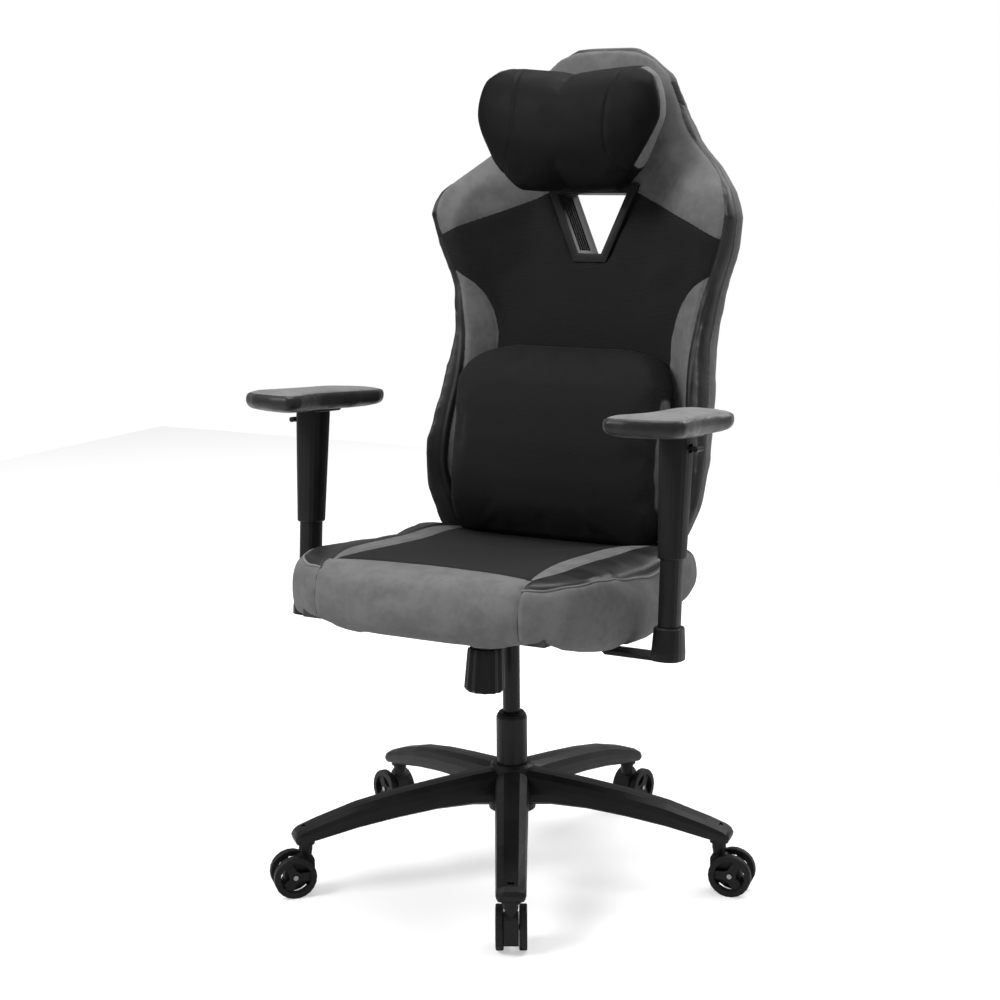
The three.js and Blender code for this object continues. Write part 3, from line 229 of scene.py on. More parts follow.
def rounded(path, steps=8, closed=False):
    """A smooth line through the points of a path (Catmull-Rom)."""
    path = np.asarray(path, float)
    count = len(path)
    out = []
    spans = count if closed else count - 1
    for i in range(spans):
        if closed:
            a, b, c, d = (path[(i + k) % count] for k in (-1, 0, 1, 2))
        else:
            a, b, c, d = (path[min(max(i + k, 0), count - 1)] for k in (-1, 0, 1, 2))
        for t in np.linspace(0, 1, steps, endpoint=False):
            bend = 2 * a - 5 * b + 4 * c - d
            twist = 3 * b - a - 3 * c + d
            out.append(0.5 * (2 * b + (c - a) * t + bend * t**2 + twist * t**3))
    if not closed:
        out.append(path[-1])
    return np.array(out)


def distance_along(points, path):
    """For each flat point, its distance from a path and how far along the path the nearest place is."""
    points = np.asarray(points)
    best = np.full(len(points), np.inf)
    along = np.zeros(len(points))
    start = 0.0
    for a, b in zip(path[:-1], path[1:]):
        step = b - a
        length = np.linalg.norm(step)
        if length < 1e-9:
            continue
        t = np.clip(((points - a) @ step) / length**2, 0, 1)
        away = np.linalg.norm(points - (a + t[:, None] * step), axis=1)
        nearer = away < best
        best = np.where(nearer, away, best)
        along = np.where(nearer, start + t * length, along)
        start += length
    return best, along


def inside(points, outline):
    """Which flat points lie inside a closed outline."""
    x, y = points[:, 0], points[:, 1]
    within = np.zeros(len(points), bool)
    for (x0, y0), (x1, y1) in zip(outline, np.roll(outline, -1, axis=0)):
        if y0 == y1:
            continue
        crosses = (y0 > y) != (y1 > y)
        at = (x1 - x0) * (y - y0) / (y1 - y0) + x0
        within ^= crosses & (x < at)
    return within


def depth_inside(points, outline):
    """Distance from a closed outline, positive inside it."""
    closed = np.vstack([outline, outline[:1]])
    away, _ = distance_along(points, closed)
    return np.where(inside(points, outline), away, -away)


def groove(piece, distance, depth, width, where=None):
    """Presses a sewn line into a soft piece."""
    press = depth * np.exp(-((distance / width) ** 2))
    if where is not None:
        press = press * where
    set_points(piece, points_of(piece) - normals_of(piece) * press[:, None])


def blend(x, low, high):
    t = np.clip((x - low) / (high - low), 0, 1)
    return t * t * (3 - 2 * t)


# ------------------------------------------------------------------------------------------------
# Cords of piping laid on a surface
# ------------------------------------------------------------------------------------------------


def surface_of(*pieces):
    """The shown surface of some pieces, to lay things on."""
    graph = bpy.context.evaluated_depsgraph_get()
    mesh = bmesh.new()
    for piece in pieces:
        mesh.from_object(piece, graph)
    tree = BVHTree.FromBMesh(mesh)
    mesh.free()
    return tree


def dropped(tree, points, direction, reach=0.6):
    """Points of the seat frame thrown along a direction onto a surface; those that miss are left out."""
    world = from_seat_frame(np.asarray(points, float))
    heading = SEAT_FRAME.to_3x3() @ Vector(direction)
    landed = []
    for point in world:
        place, normal, _, _ = tree.ray_cast(Vector(point) - heading * reach / 2, heading, reach)
        if place is not None:
            landed.append((place, normal))
    return landed


def piping(name, places, radius, closed=False, sink=0.3):
    """A round cord along a line of places, half sunk in the surface under it."""
    deselect()
    bpy.ops.curve.primitive_nurbs_path_add()
    cord = bpy.context.object
    cord.name = name
    curve = cord.data
    curve.splines.clear()
    spline = curve.splines.new("POLY")
    spline.points.add(len(places) - 1)
    for point, (place, normal) in zip(spline.points, places):
        point.co = (*(place + normal * radius * (1 - 2 * sink)), 1)
    spline.use_cyclic_u = closed
    curve.dimensions = "3D"
    curve.bevel_depth = radius
    curve.bevel_resolution = 2
    curve.use_fill_caps = True
    only(cord)
    bpy.ops.object.convert(target="MESH")
    cord = bpy.context.object
    only(cord)
    bpy.ops.object.transform_apply(location=True, rotation=True, scale=True)
    return smooth_shaded(cord)


def evened(places, rounds=2):
    """Takes the jitter out of a line of places."""
    for _ in range(rounds):
        middle = [
            ((a[0] + b[0] * 2 + c[0]) / 4, (a[1] + b[1] * 2 + c[1]).normalized())
            for a, b, c in zip(places[:-2], places[1:-1], places[2:])
        ]
        places = [places[0], *middle, places[-1]]
    return places


# ------------------------------------------------------------------------------------------------
# Finishes
# ------------------------------------------------------------------------------------------------


class Shade:
    """Builds one material, node by node."""

    def __init__(self, name):
        self.material = bpy.data.materials.new(name)
        self.material.use_nodes = True
        self.tree = self.material.node_tree
        self.surface = self.tree.nodes["Principled BSDF"]
        self.place = self.node("ShaderNodeTexCoord").outputs["Object"]

    def node(self, kind, **settings):
        made = self.tree.nodes.new(kind)
        for key, value in settings.items():
            setattr(made, key, value)
        return made

    def plug(self, socket, value):
        if isinstance(value, bpy.types.NodeSocket):
            self.tree.links.new(value, socket)
        else:
            socket.default_value = value

    def math(self, operation, a, b=0.0, c=0.0, clamp=False):
        made = self.node("ShaderNodeMath", operation=operation, use_clamp=clamp)
        for socket, value in zip(made.inputs, (a, b, c)):
            self.plug(socket, value)
        return made.outputs[0]

    def noise(self, scale, detail=3.0, roughness=0.5, place=None):
        made = self.node("ShaderNodeTexNoise")
        self.plug(made.inputs["Vector"], place or self.place)
        made.inputs["Scale"].default_value = scale
        made.inputs["Detail"].default_value = detail
        made.inputs["Roughness"].default_value = roughness
        return made.outputs["Fac"]

    def cells(self, scale, feature="F1", place=None):
        made = self.node("ShaderNodeTexVoronoi", feature=feature)
        self.plug(made.inputs["Vector"], place or self.place)
        made.inputs["Scale"].default_value = scale
        return made.outputs["Distance"]

    def attribute(self, name):
        return self.node("ShaderNodeAttribute", attribute_name=name).outputs["Fac"]

    def spread(self, value, low, high, start=0.0, end=1.0, smooth=False):
        made = self.node("ShaderNodeMapRange", interpolation_type="SMOOTHSTEP" if smooth else "LINEAR")
        for socket, entry in zip(made.inputs, (value, low, high, start, end)):
            self.plug(socket, entry)
        return made.outputs[0]

    def tint(self, share, dark, light):
        made = self.node("ShaderNodeMix", data_type="RGBA")
        self.plug(made.inputs[0], share)
        self.plug(made.inputs[6], dark if isinstance(dark, bpy.types.NodeSocket) else (*dark, 1))
        self.plug(made.inputs[7], light if isinstance(light, bpy.types.NodeSocket) else (*light, 1))
        return made.outputs[2]

    def between(self, share, a, b):
        made = self.node("ShaderNodeMix", data_type="FLOAT")
        self.plug(made.inputs[0], share)
        self.plug(made.inputs[2], a)
        self.plug(made.inputs[3], b)
        return made.outputs[0]

    def finish(self, look, metallic=0.0, sheen=0.0, specular=0.25):
        """Plugs a look in. Its height is in millimetres."""
        self.plug(self.surface.inputs["Base Color"], look["colour"])
        self.plug(self.surface.inputs["Roughness"], look["rough"])
        bump = self.node("ShaderNodeBump")
        bump.inputs["Strength"].default_value = 1.0
        bump.inputs["Distance"].default_value = MM
        self.plug(bump.inputs["Height"], look["height"])
        self.tree.links.new(bump.outputs[0], self.surface.inputs["Normal"])
        self.surface.inputs["Metallic"].default_value = metallic
        self.surface.inputs["Specular IOR Level"].default_value = specular
        if sheen:
            self.surface.inputs["Sheen Weight"].default_value = sheen
            self.surface.inputs["Sheen Roughness"].default_value = 0.5
        return self.material


def grey(value):
    return (value, value, value * 1.01)


def suede_look(s, shade):
    """Soft brushed leatherette: clouds of lighter and darker nap over a fine grain."""
    clouds = s.noise(26, 5, 0.6)
    streaks = s.noise(90, 3, 0.6)
    mixed = s.math("MULTIPLY_ADD", streaks, 0.35, s.math("MULTIPLY", clouds, 0.65))
    colour = s.tint(s.spread(mixed, 0.36, 0.62, smooth=True), grey(shade * 0.86), grey(shade * 1.16))
    grain = s.noise(1500, 2)
    height = s.math("MULTIPLY_ADD", grain, 0.1, s.math("MULTIPLY", streaks, 0.12))
    return {"colour": colour, "rough": s.spread(mixed, 0.3, 0.7, 0.72, 0.9), "height": height}


def leather_look(s, shade, rough):
    """Smooth leatherette with a pebble grain."""
    pebbles = s.cells(850, "F1")
    wear = s.noise(30, 4)
    colour = s.tint(s.spread(wear, 0.35, 0.65), grey(shade * 0.8), grey(shade * 1.25))
    height = s.math("MULTIPLY_ADD", s.noise(220, 3), 0.08, s.math("MULTIPLY", pebbles, 0.06))
    gloss = s.spread(wear, 0.3, 0.7, rough - 0.05, rough + 0.07)
    return {"colour": colour, "rough": gloss, "height": height}


def knit_look(s, shade, across, along, pitch, openness):
    """Spacer mesh: staggered rows of small openings. across and along are axes of the object."""
    axes = s.node("ShaderNodeSeparateXYZ")
    s.plug(axes.inputs[0], s.place)
    turns = 2 * math.pi / (pitch * MM)
    rows = s.math("COSINE", s.math("MULTIPLY", axes.outputs[across], turns))
    columns = s.math("COSINE", s.math("MULTIPLY", axes.outputs[along], turns * 0.62))
    weave = s.math("MULTIPLY", rows, columns)
    hole = s.spread(s.math("ABSOLUTE", weave), openness, openness + 0.45, smooth=True)
    fuzz = s.noise(1300, 2)
    thread = s.tint(fuzz, grey(shade * 1.1), grey(shade * 2.4))
    colour = s.tint(hole, thread, grey(shade * 0.12))
    height = s.math("MULTIPLY_ADD", fuzz, 0.1, s.math("MULTIPLY", hole, -0.55))
    return {"colour": colour, "rough": 0.85, "height": height}


def layered(s, below, above, edge):
    """Shows one look over another where a distance is positive."""
    share = s.spread(edge, -0.3 * MM, 0.3 * MM)
    return {
        "colour": s.tint(share, below["colour"], above["colour"]),
        "rough": s.between(share, below["rough"], above["rough"]),
        "height": s.between(share, below["height"], above["height"]),
    }


def moulded(name, shade, rough, grain, depth, metallic=0.0, scratches=0.0):
    """Plain moulded or coated finish with a fine even texture."""
    s = Shade(name)
    texture = s.noise(grain, 2)
    handling = s.noise(18, 4)
    colour = s.tint(s.spread(handling, 0.3, 0.7), grey(shade * 0.85), grey(shade * 1.2))
    height = s.math("MULTIPLY", texture, depth)
    if scratches:
        brushed = s.node("ShaderNodeMapping")
        brushed.inputs["Scale"].default_value = (1, 1, 0.02)
        s.plug(brushed.inputs["Vector"], s.place)
        lines = s.noise(1400, 2, 0.5, brushed.outputs[0])
        height = s.math("MULTIPLY_ADD", lines, scratches, height)
    gloss = s.spread(handling, 0.3, 0.7, rough - 0.04, rough + 0.05)
    return s.finish({"colour": colour, "rough": gloss, "height": height}, metallic=metallic)


def dress(piece, material):
    """Gives a piece one material."""
    piece.data.materials.clear()
    piece.data.materials.append(material)
    return piece


# ------------------------------------------------------------------------------------------------
# Settings
# ------------------------------------------------------------------------------------------------


class ChairColours(bpy.types.PropertyGroup):
    """Colours of the covers and the hard parts, as shares of white."""

    suede: FloatProperty(name="Suede", description="Grey brushed leatherette", default=0.115, min=0, max=1)
    leather: FloatProperty(
        name="Leather", description="Smooth black leatherette", default=0.012, min=0, max=1
    )
    knit: FloatProperty(name="Knit", description="Black spacer mesh", default=0.0035, min=0, max=1)
    pillow: FloatProperty(name="Pillow", description="Black pillow cover", default=0.0035, min=0, max=1)
    plastic: FloatProperty(name="Plastic", description="Black mouldings", default=0.007, min=0, max=1)
    coat: FloatProperty(name="Coat", description="Black coated steel", default=0.007, min=0, max=1)


class ChairSizes(bpy.types.PropertyGroup):
    """Sizes of the upholstery that the frame doesn't set."""

    seam_depth: FloatProperty(
        name="Seam depth", description="How deep a sewn line is drawn in", default=0.0022, unit="LENGTH"
    )
    seam_width: FloatProperty(
        name="Seam width",
        description="Half width of the dip along a sewn line",
        default=0.0042,
        unit="LENGTH",
    )
    piping: FloatProperty(
        name="Piping", description="Radius of the piping cord", default=0.0019, unit="LENGTH"
    )
    knit_pitch: FloatProperty(
        name="Knit pitch",
        description="Openings of the mesh from one to the next, in millimetres",
        default=5.0,
    )


class StudioSettings(bpy.types.PropertyGroup):
    """Camera and light."""

    camera_place: FloatVectorProperty(
        name="Camera",
        description="Where the camera stands",
        default=(1.3746, -2.6286, 1.1744),
        unit="LENGTH",
    )
    azimuth: FloatProperty(
        name="Azimuth", description="Heading of the view", default=math.radians(28.41), unit="ROTATION"
    )
    pitch: FloatProperty(
        name="Pitch", description="How far the view looks down", default=math.radians(10.84), unit="ROTATION"
    )
    roll: FloatProperty(
        name="Roll", description="Roll of the camera", default=math.radians(-0.52), unit="ROTATION"
    )
    lens: FloatProperty(name="Lens", description="Focal length in millimetres", default=68.25)
    ambient: FloatProperty(
        name="Ambient", description="How brightly the backdrop lights the chair", default=0.3
    )
    floor: FloatProperty(name="Floor", description="Half width of the floor", default=3.6, unit="LENGTH")


def sizes():
    return bpy.context.scene.chair_sizes


def colours():
    return bpy.context.scene.chair_colours


# ------------------------------------------------------------------------------------------------
# Seams, in millimetres of the seat frame
# ------------------------------------------------------------------------------------------------


def mm(path):
    return np.asarray(path, float) * MM


# Seat, in X and Y: the mesh inlay, the leather band outside it and the front panel's side seams.
INLAY_CORNER = (167, -262)
INLAY_SIDE = [
    INLAY_CORNER, (160, -225), (148, -150), (143, -60), (149, 30), (166, 110), (176, 158), (180, 300),
]
INLAY_FRONT = [(-167, -262), (-100, -240), (0, -226), (100, -240), (167, -262)]
BAND_INNER = [INLAY_CORNER, (180, -222), (186, -180), (184, -80), (187, 20), (190, 124), (192, 300)]
BAND_OUTER = [
    (169, -292), (200, -280), (224, -258), (239, -225), (244, -190), (245, -150), (242, -60), (240, 10),
    (244, 110),
]
FRONT_SEAM = 171.5

# Back, in X and Z: the edge of the front, the shoulders, the side panels and the sides of the rear.
BORDER_SEAM = [
    (150, 96), (188, 130), (212, 180), (216, 230), (212, 290), (206, 345), (205, 385), (208, 420),
    (213, 452), (220, 486), (229, 516), (241, 545), (252, 577), (260, 606), (262, 634), (255, 664),
    (236, 692), (205, 722), (176, 748), (156, 775), (143, 805), (131, 835), (118, 860), (95, 882),
    (62, 896), (0, 901),
]
SHOULDER_SEAM = [(272, 578), (256, 586), (213, 606), (160, 628), (109, 650), (72, 665), (0, 672)]
CRESCENT_EDGE = [
    (238, 530), (217, 519), (199, 507), (182, 488), (171, 468), (165, 448), (161.5, 428), (160, 400),
    (160, 90),
]
REAR_SEAM = mm(
    [(120, 90), (165, 150), (160, 330), (165, 480), (180, 620), (120, 760), (70, 860), (20, 905)]
)

# Inner face of the opening's trim on the sitter's left, at its sill and its head, in X and Z.
OPENING_SILL = np.array((21.5, 564))
OPENING_HEAD = np.array((62.5, 660))

# Neck pillow, from its middle, in X and Z.
PILLOW_SEAM = [(92, 100), (86, 60), (83, 20), (84, -10), (90, -40), (104, -66), (126, -82), (150, -90)]

# ------------------------------------------------------------------------------------------------
# Depths, widths and lifts, in metres
# ------------------------------------------------------------------------------------------------

SEAT_EDGE = 0.055  # lowest that the top's panels reach
SEAT_FILL = 0.012  # how far the seat swells up under the back
BACK_SETTLE = 0.014  # how far the back and the lumbar pad sink into the seat

OPENING_LIP = 0.10  # how far the lip laps the cover, as a share of its distance from the middle
RIB_FRONT = 0.262
RIB_RISE = 0.0026
RIB_WIDTH = 0.003
RIB_SPACING = 0.0085
RIB_COUNT = 5

LUMBAR_CORNER = 0.062
LUMBAR_EDGE = 0.0045
LUMBAR_ROLL = ((0.10, 0.42), (0.150, 0.155))  # depth of the line between the two rolls, by height

PILLOW_PANEL = 0.040  # depth of the front panel at the pillow's ends
PILLOW_END = 0.125  # how far from the middle the ends of the pillow begin

STRAP_HEIGHT = 0.038
STRAP_THICKNESS = 0.0018
STRAP_GAP = 0.0008  # between the strap and the cover under it
STRAP_ROWS = 5
STRAP_POINTS = 120

PAD_TOP = 0.0035  # depth of the pad's top panel

FLOOR_GLOW = 0.45  # what the floor adds to its own brightness, to the camera only
LIGHTS = [  # name, place, size and power in watts
    ("key", (-1.9, -2.6, 3.2), 2.0, 135),
    ("top", (0.2, 0.8, 4.6), 4.0, 190),
    ("fill", (3.0, -0.6, 1.9), 1.4, 5),
    ("rim", (1.2, 2.8, 2.4), 1.6, 40),
]


# ------------------------------------------------------------------------------------------------
# Pieces
# ------------------------------------------------------------------------------------------------


def make_seat():
    size = sizes()
    piece = copy_of("seat_cover", "seat_cushion")
    soften(piece, 0.0065, 10, shrink=0.001)
    inflate(piece, 2.5, 0.007, settle=14)
    refined(piece)
    place = in_seat_frame(points_of(piece))
    fill = SEAT_FILL * blend(place[:, 1], -0.05, 0.16) * blend(place[:, 2], 0.05, 0.08)
    place[:, 2] += fill
    set_points(piece, from_seat_frame(place))
    normal = normals_of(piece) @ np.array(SEAT_FRAME.to_3x3())
    flat = place[:, :2]
    side = np.abs(flat[:, 0])
    folded = np.column_stack([side, flat[:, 1]])
    upward = blend(normal[:, 2], 0.2, 0.5)
    forward = blend(-normal[:, 1], 0.1, 0.4)

    inlay_side = rounded(mm(INLAY_SIDE))
    inlay_front = rounded(mm(INLAY_FRONT))
    front_depth = np.interp(flat[:, 0], inlay_front[:, 0], inlay_front[:, 1])
    side_edge = np.interp(flat[:, 1], inlay_side[:, 1], inlay_side[:, 0])
    to_front, _ = distance_along(flat, inlay_front)
    to_side, _ = distance_along(folded, inlay_side)
    within = np.minimum(
        np.where(flat[:, 1] > front_depth, to_front, -to_front), np.where(side < side_edge, to_side, -to_side)
    )
    band_inner = rounded(mm(BAND_INNER))
    band_outer = rounded(mm(BAND_OUTER))
    inner_x = np.interp(flat[:, 1], band_inner[:, 1], band_inner[:, 0], left=9)
    away_inner, _ = distance_along(folded, band_inner)
    away_outer, _ = distance_along(folded, band_outer)
    seam_x = FRONT_SEAM * MM
    seam = np.abs(side - seam_x)
    seam_reach = blend(-flat[:, 1], 0.262, 0.268)

    band = np.where(side > np.where(flat[:, 1] < band_inner[0, 1], seam_x, inner_x), 1.0, -1.0)
    band = band * np.minimum(np.where(flat[:, 1] < band_inner[0, 1], np.abs(side - seam_x), away_inner), 0.05)
    outline = np.vstack([band_outer, [[0.244, 0.4], [0, 0.4], [0, -0.292]]])
    topside = depth_inside(folded, outline)
    band = np.minimum(band, topside)
    band = np.where(place[:, 2] > SEAT_EDGE, band, -0.01)
    within = np.where(normal[:, 2] > 0, within, -0.01)

    depth, width = size.seam_depth, size.seam_width
    groove(piece, to_front, depth, width, upward * (side < 0.167))
    groove(piece, to_side, depth, width, upward * (flat[:, 1] > -0.262))
    groove(piece, away_inner, depth, width, upward)
    groove(piece, away_outer, depth * 1.2, width, blend(place[:, 2], SEAT_EDGE - 0.01, SEAT_EDGE))
    groove(piece, seam, depth * 0.8, width * 0.8, seam_reach * np.maximum(forward, upward))
    store(piece, "inlay", within)
    store(piece, "band", band)
    sewn = np.minimum(np.where(seam_reach > 0.5, seam, 1), np.where(upward > 0.3, away_inner, 1))
    store(piece, "sewn", sewn)

    s = Shade("seat covering")
    suede = suede_look(s, colours().suede)
    leather = leather_look(s, colours().leather, 0.42)
    mesh = knit_look(s, colours().knit, "X", "Y", size.knit_pitch, 0.25)
    look = layered(s, suede, leather, s.attribute("band"))
    look = layered(s, look, mesh, s.attribute("inlay"))
    dress(piece, s.finish(sewn_line(s, look), specular=0.35))
    smooth_shaded(piece)
    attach(piece, "seat")
    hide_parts("seat_cushion")

    tree = surface_of(piece)
    material = cord_finish("grey piping", colours().suede * 1.3)
    for name, turn in (("left", 1), ("right", -1)):
        line = rounded(mm(BAND_OUTER), 10) * (turn, 1)
        high = np.column_stack([line, np.full(len(line), 0.15)])
        cord = piping("seat_piping_" + name, evened(dropped(tree, high, (0, 0, -1)), 3), size.piping)
        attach(dress(cord, material), "seat")


def cord_finish(name, shade):
    s = Shade(name)
    look = leather_look(s, shade, 0.5)
    return s.finish(look)


def away_from(node, points):
    """Distance of each point from a node of the frame."""
    mesh = bmesh.new()
    mesh.from_mesh(frame["nodes"][node].data)
    tree = BVHTree.FromBMesh(mesh)
    mesh.free()
    return np.array([tree.find_nearest(Vector(point))[3] for point in points])


def store_back_panels(piece):
    """Sews the back's seams in and keeps where its panels are."""
    size = sizes()
    points = points_of(piece)
    place = in_seat_frame(points)
    normal = normals_of(piece) @ np.array(SEAT_FRAME.to_3x3())
    folded = np.column_stack([np.abs(place[:, 0]), place[:, 2]])
    ahead = blend(-normal[:, 1], -0.1, 0.25)
    behind = blend(normal[:, 1], 0.2, 0.5)
    parting = away_from("back_shell", points) - away_from("back_cushion", points)
    cushion = blend(parting, -0.004, 0.004)

    border = rounded(mm(BORDER_SEAM))
    within = depth_inside(folded, np.vstack([border, [[0, 0.05]], [[0.150, 0.05]]]))
    to_border, _ = distance_along(folded, border)
    shoulder = rounded(mm(SHOULDER_SEAM))
    order = np.argsort(shoulder[:, 0])
    level = np.interp(folded[:, 0], shoulder[order, 0], shoulder[order, 1])
    to_shoulder, _ = distance_along(folded, shoulder)
    crescent = rounded(mm(CRESCENT_EDGE))
    outside = depth_inside(folded, np.vstack([crescent, [[0.4, 0.09]], [[0.4, 0.530]]]))
    to_crescent, _ = distance_along(folded, crescent)
    front = np.minimum(cushion, ahead)
    rear_seam = np.interp(folded[:, 1], REAR_SEAM[:, 1], REAR_SEAM[:, 0]) - folded[:, 0]

    depth, width = size.seam_depth, size.seam_width
    groove(piece, to_border, depth * 1.3, width, front)
    groove(piece, np.abs(to_border - 0.011), depth * 0.6, width * 0.8, front * (within < 0))
    groove(piece, to_shoulder, depth * 0.7, width, front * (within > 0))
    groove(piece, to_crescent, depth * 0.7, width, front * (within > 0))
    groove(piece, np.abs(parting), depth * 1.6, width, 1 - front)
    groove(piece, np.abs(rear_seam), depth, width, np.minimum(behind, 1 - cushion))

    on_front = (cushion > 0.5) & (ahead > 0.3)
    line = np.where(within > -0.002, np.minimum(np.minimum(to_border, to_shoulder), to_crescent), to_border)
    line = np.where(within < -0.004, np.minimum(line, np.abs(to_border - 0.011)), line)
    line = np.where(on_front, line, np.abs(parting))
    on_rear = (cushion < 0.5) & (behind > 0.3)
    line = np.where(on_rear, np.minimum(line, np.abs(rear_seam)), line)
    store(piece, "cushion", parting)
    store(piece, "panel", np.where(on_front, within, -0.01))
    store(piece, "grey", np.maximum(np.where(folded[:, 1] > level, to_shoulder, -to_shoulder), outside))
    store(piece, "rear", np.where(on_rear, rear_seam, -0.01))
    store(piece, "sewn", line)


def sink_foot(piece):
    """Presses a piece's foot down into the seat."""
    place = in_seat_frame(points_of(piece))
    foot = place[:, 2].min()
    place[:, 2] -= BACK_SETTLE * (1 - blend(place[:, 2], foot, foot + 0.09))
    set_points(piece, from_seat_frame(place))


def back_finish():
    s = Shade("back covering")
    leather = leather_look(s, colours().leather, 0.5)
    suede = suede_look(s, colours().suede)
    mesh = knit_look(s, colours().knit, "X", "Z", sizes().knit_pitch, 0.25)
    look = layered(s, mesh, suede, s.attribute("grey"))
    look = layered(s, leather, look, s.attribute("panel"))
    rear = layered(s, suede, leather, s.attribute("rear"))
    look = sewn_line(s, layered(s, rear, look, s.attribute("cushion")))
    return s.finish(look, specular=0.35)


def make_back():
    """One sewn cover over the back's foam and its shell."""
    piece = copy_of("back_cover", "back_cushion", "back_shell")
    soften(piece, 0.0072, 10, shrink=0.0015)
    inflate(piece, 2.5, 0.005, settle=6)
    refined(piece)
    sink_foot(piece)
    store_back_panels(piece)
    dress(piece, back_finish())
    smooth_shaded(piece)
    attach(piece, "seat")
    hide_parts("back_cushion", "back_shell")
    return piece


def sewn_line(s, look):
    """Darkens a look along its seams."""
    line = s.spread(s.attribute("sewn"), 0.3 * MM, 1.2 * MM, 1.0, 0.0)
    look["colour"] = s.tint(s.math("MULTIPLY", line, 0.8), look["colour"], grey(0.004))
    return look


def make_lumbar():
    piece = copy_of("lumbar_cover", "lumbar_cushion")
    soften(piece, 0.005, 12, shrink=0.001)
    inflate(piece, 3.0, 0.007)
    refined(piece)
    sink_foot(piece)
    place = in_seat_frame(points_of(piece))
    normal = normals_of(piece) @ np.array(SEAT_FRAME.to_3x3())
    folded = np.column_stack([np.abs(place[:, 0]), place[:, 2]])
    half, foot, head = folded[:, 0].max(), folded[:, 1].min(), folded[:, 1].max()
    corner = [
        (half - LUMBAR_CORNER * (1 - math.sin(a)), head - LUMBAR_CORNER * (1 - math.cos(a)))
        for a in np.linspace(math.pi / 2, 0, 8)
    ]
    outline = np.vstack([[(0, foot), (half - 0.01, foot), (half, foot + 0.02)], corner, [(0, head)]])
    face = depth_inside(folded, outline) - LUMBAR_EDGE
    face = np.maximum(face, folded[:, 1] - (head - LUMBAR_CORNER * 0.7))
    face = np.maximum(face, half - 0.05 - folded[:, 0])
    wall = np.abs(normal[:, 0]) * (face < 0)
    rolled = np.abs(place[:, 1] - np.interp(place[:, 2], *LUMBAR_ROLL))
    groove(piece, rolled, 0.003, 0.004, wall)
    groove(piece, np.abs(face), 0.0015, 0.003, (folded[:, 0] > 0.1) * 1.0)
    store(piece, "face", face)
    store(piece, "sewn", np.minimum(np.abs(face), np.where(wall > 0.5, rolled, 1)))
    s = Shade("lumbar covering")
    suede = suede_look(s, colours().suede * 0.75)
    mesh = knit_look(s, colours().knit, "X", "Z", sizes().knit_pitch * 0.62, 0.35)
    look = sewn_line(s, layered(s, suede, mesh, s.attribute("face")))
    dress(piece, s.finish(look, specular=0.3))
    smooth_shaded(piece)
    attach(piece, "seat")
    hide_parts("lumbar_cushion")


def make_pillow():
    piece = copy_of("pillow_cover", "neck_pillow")
    soften(piece, 0.0042, 14, shrink=0.003)
    inflate(piece, 4.0, 0.009)
    refined(piece)
    place = in_seat_frame(points_of(piece))
    normal = normals_of(piece) @ np.array(SEAT_FRAME.to_3x3())
    middle = (place.max(axis=0) + place.min(axis=0)) / 2
    across = np.abs(place[:, 0] - middle[0])
    high = place[:, 2] - middle[2]
    ahead = blend(-normal[:, 1], -0.05, 0.2)
    seam, _ = distance_along(np.column_stack([across, high]), rounded(mm(PILLOW_SEAM)))
    groove(piece, seam, 0.0013, 0.003, ahead)
    flat_depth = place[:, 1] - high * math.tan(math.radians(4))
    end = np.minimum(flat_depth - flat_depth.min() - PILLOW_PANEL, across - PILLOW_END)
    groove(piece, np.abs(end), 0.0012, 0.003)
    store(piece, "gusset", end)
    store(piece, "sewn", np.minimum(np.where(ahead > 0.4, seam, 1), np.abs(end)))
    s = Shade("pillow covering")
    cover = leather_look(s, colours().pillow, 0.6)
    look = layered(s, cover, suede_look(s, colours().suede * 1.4), s.attribute("gusset"))
    dress(piece, s.finish(sewn_line(s, look), specular=0.1))
    smooth_shaded(piece)
    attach(piece, "neck_pillow")
    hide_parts("neck_pillow")


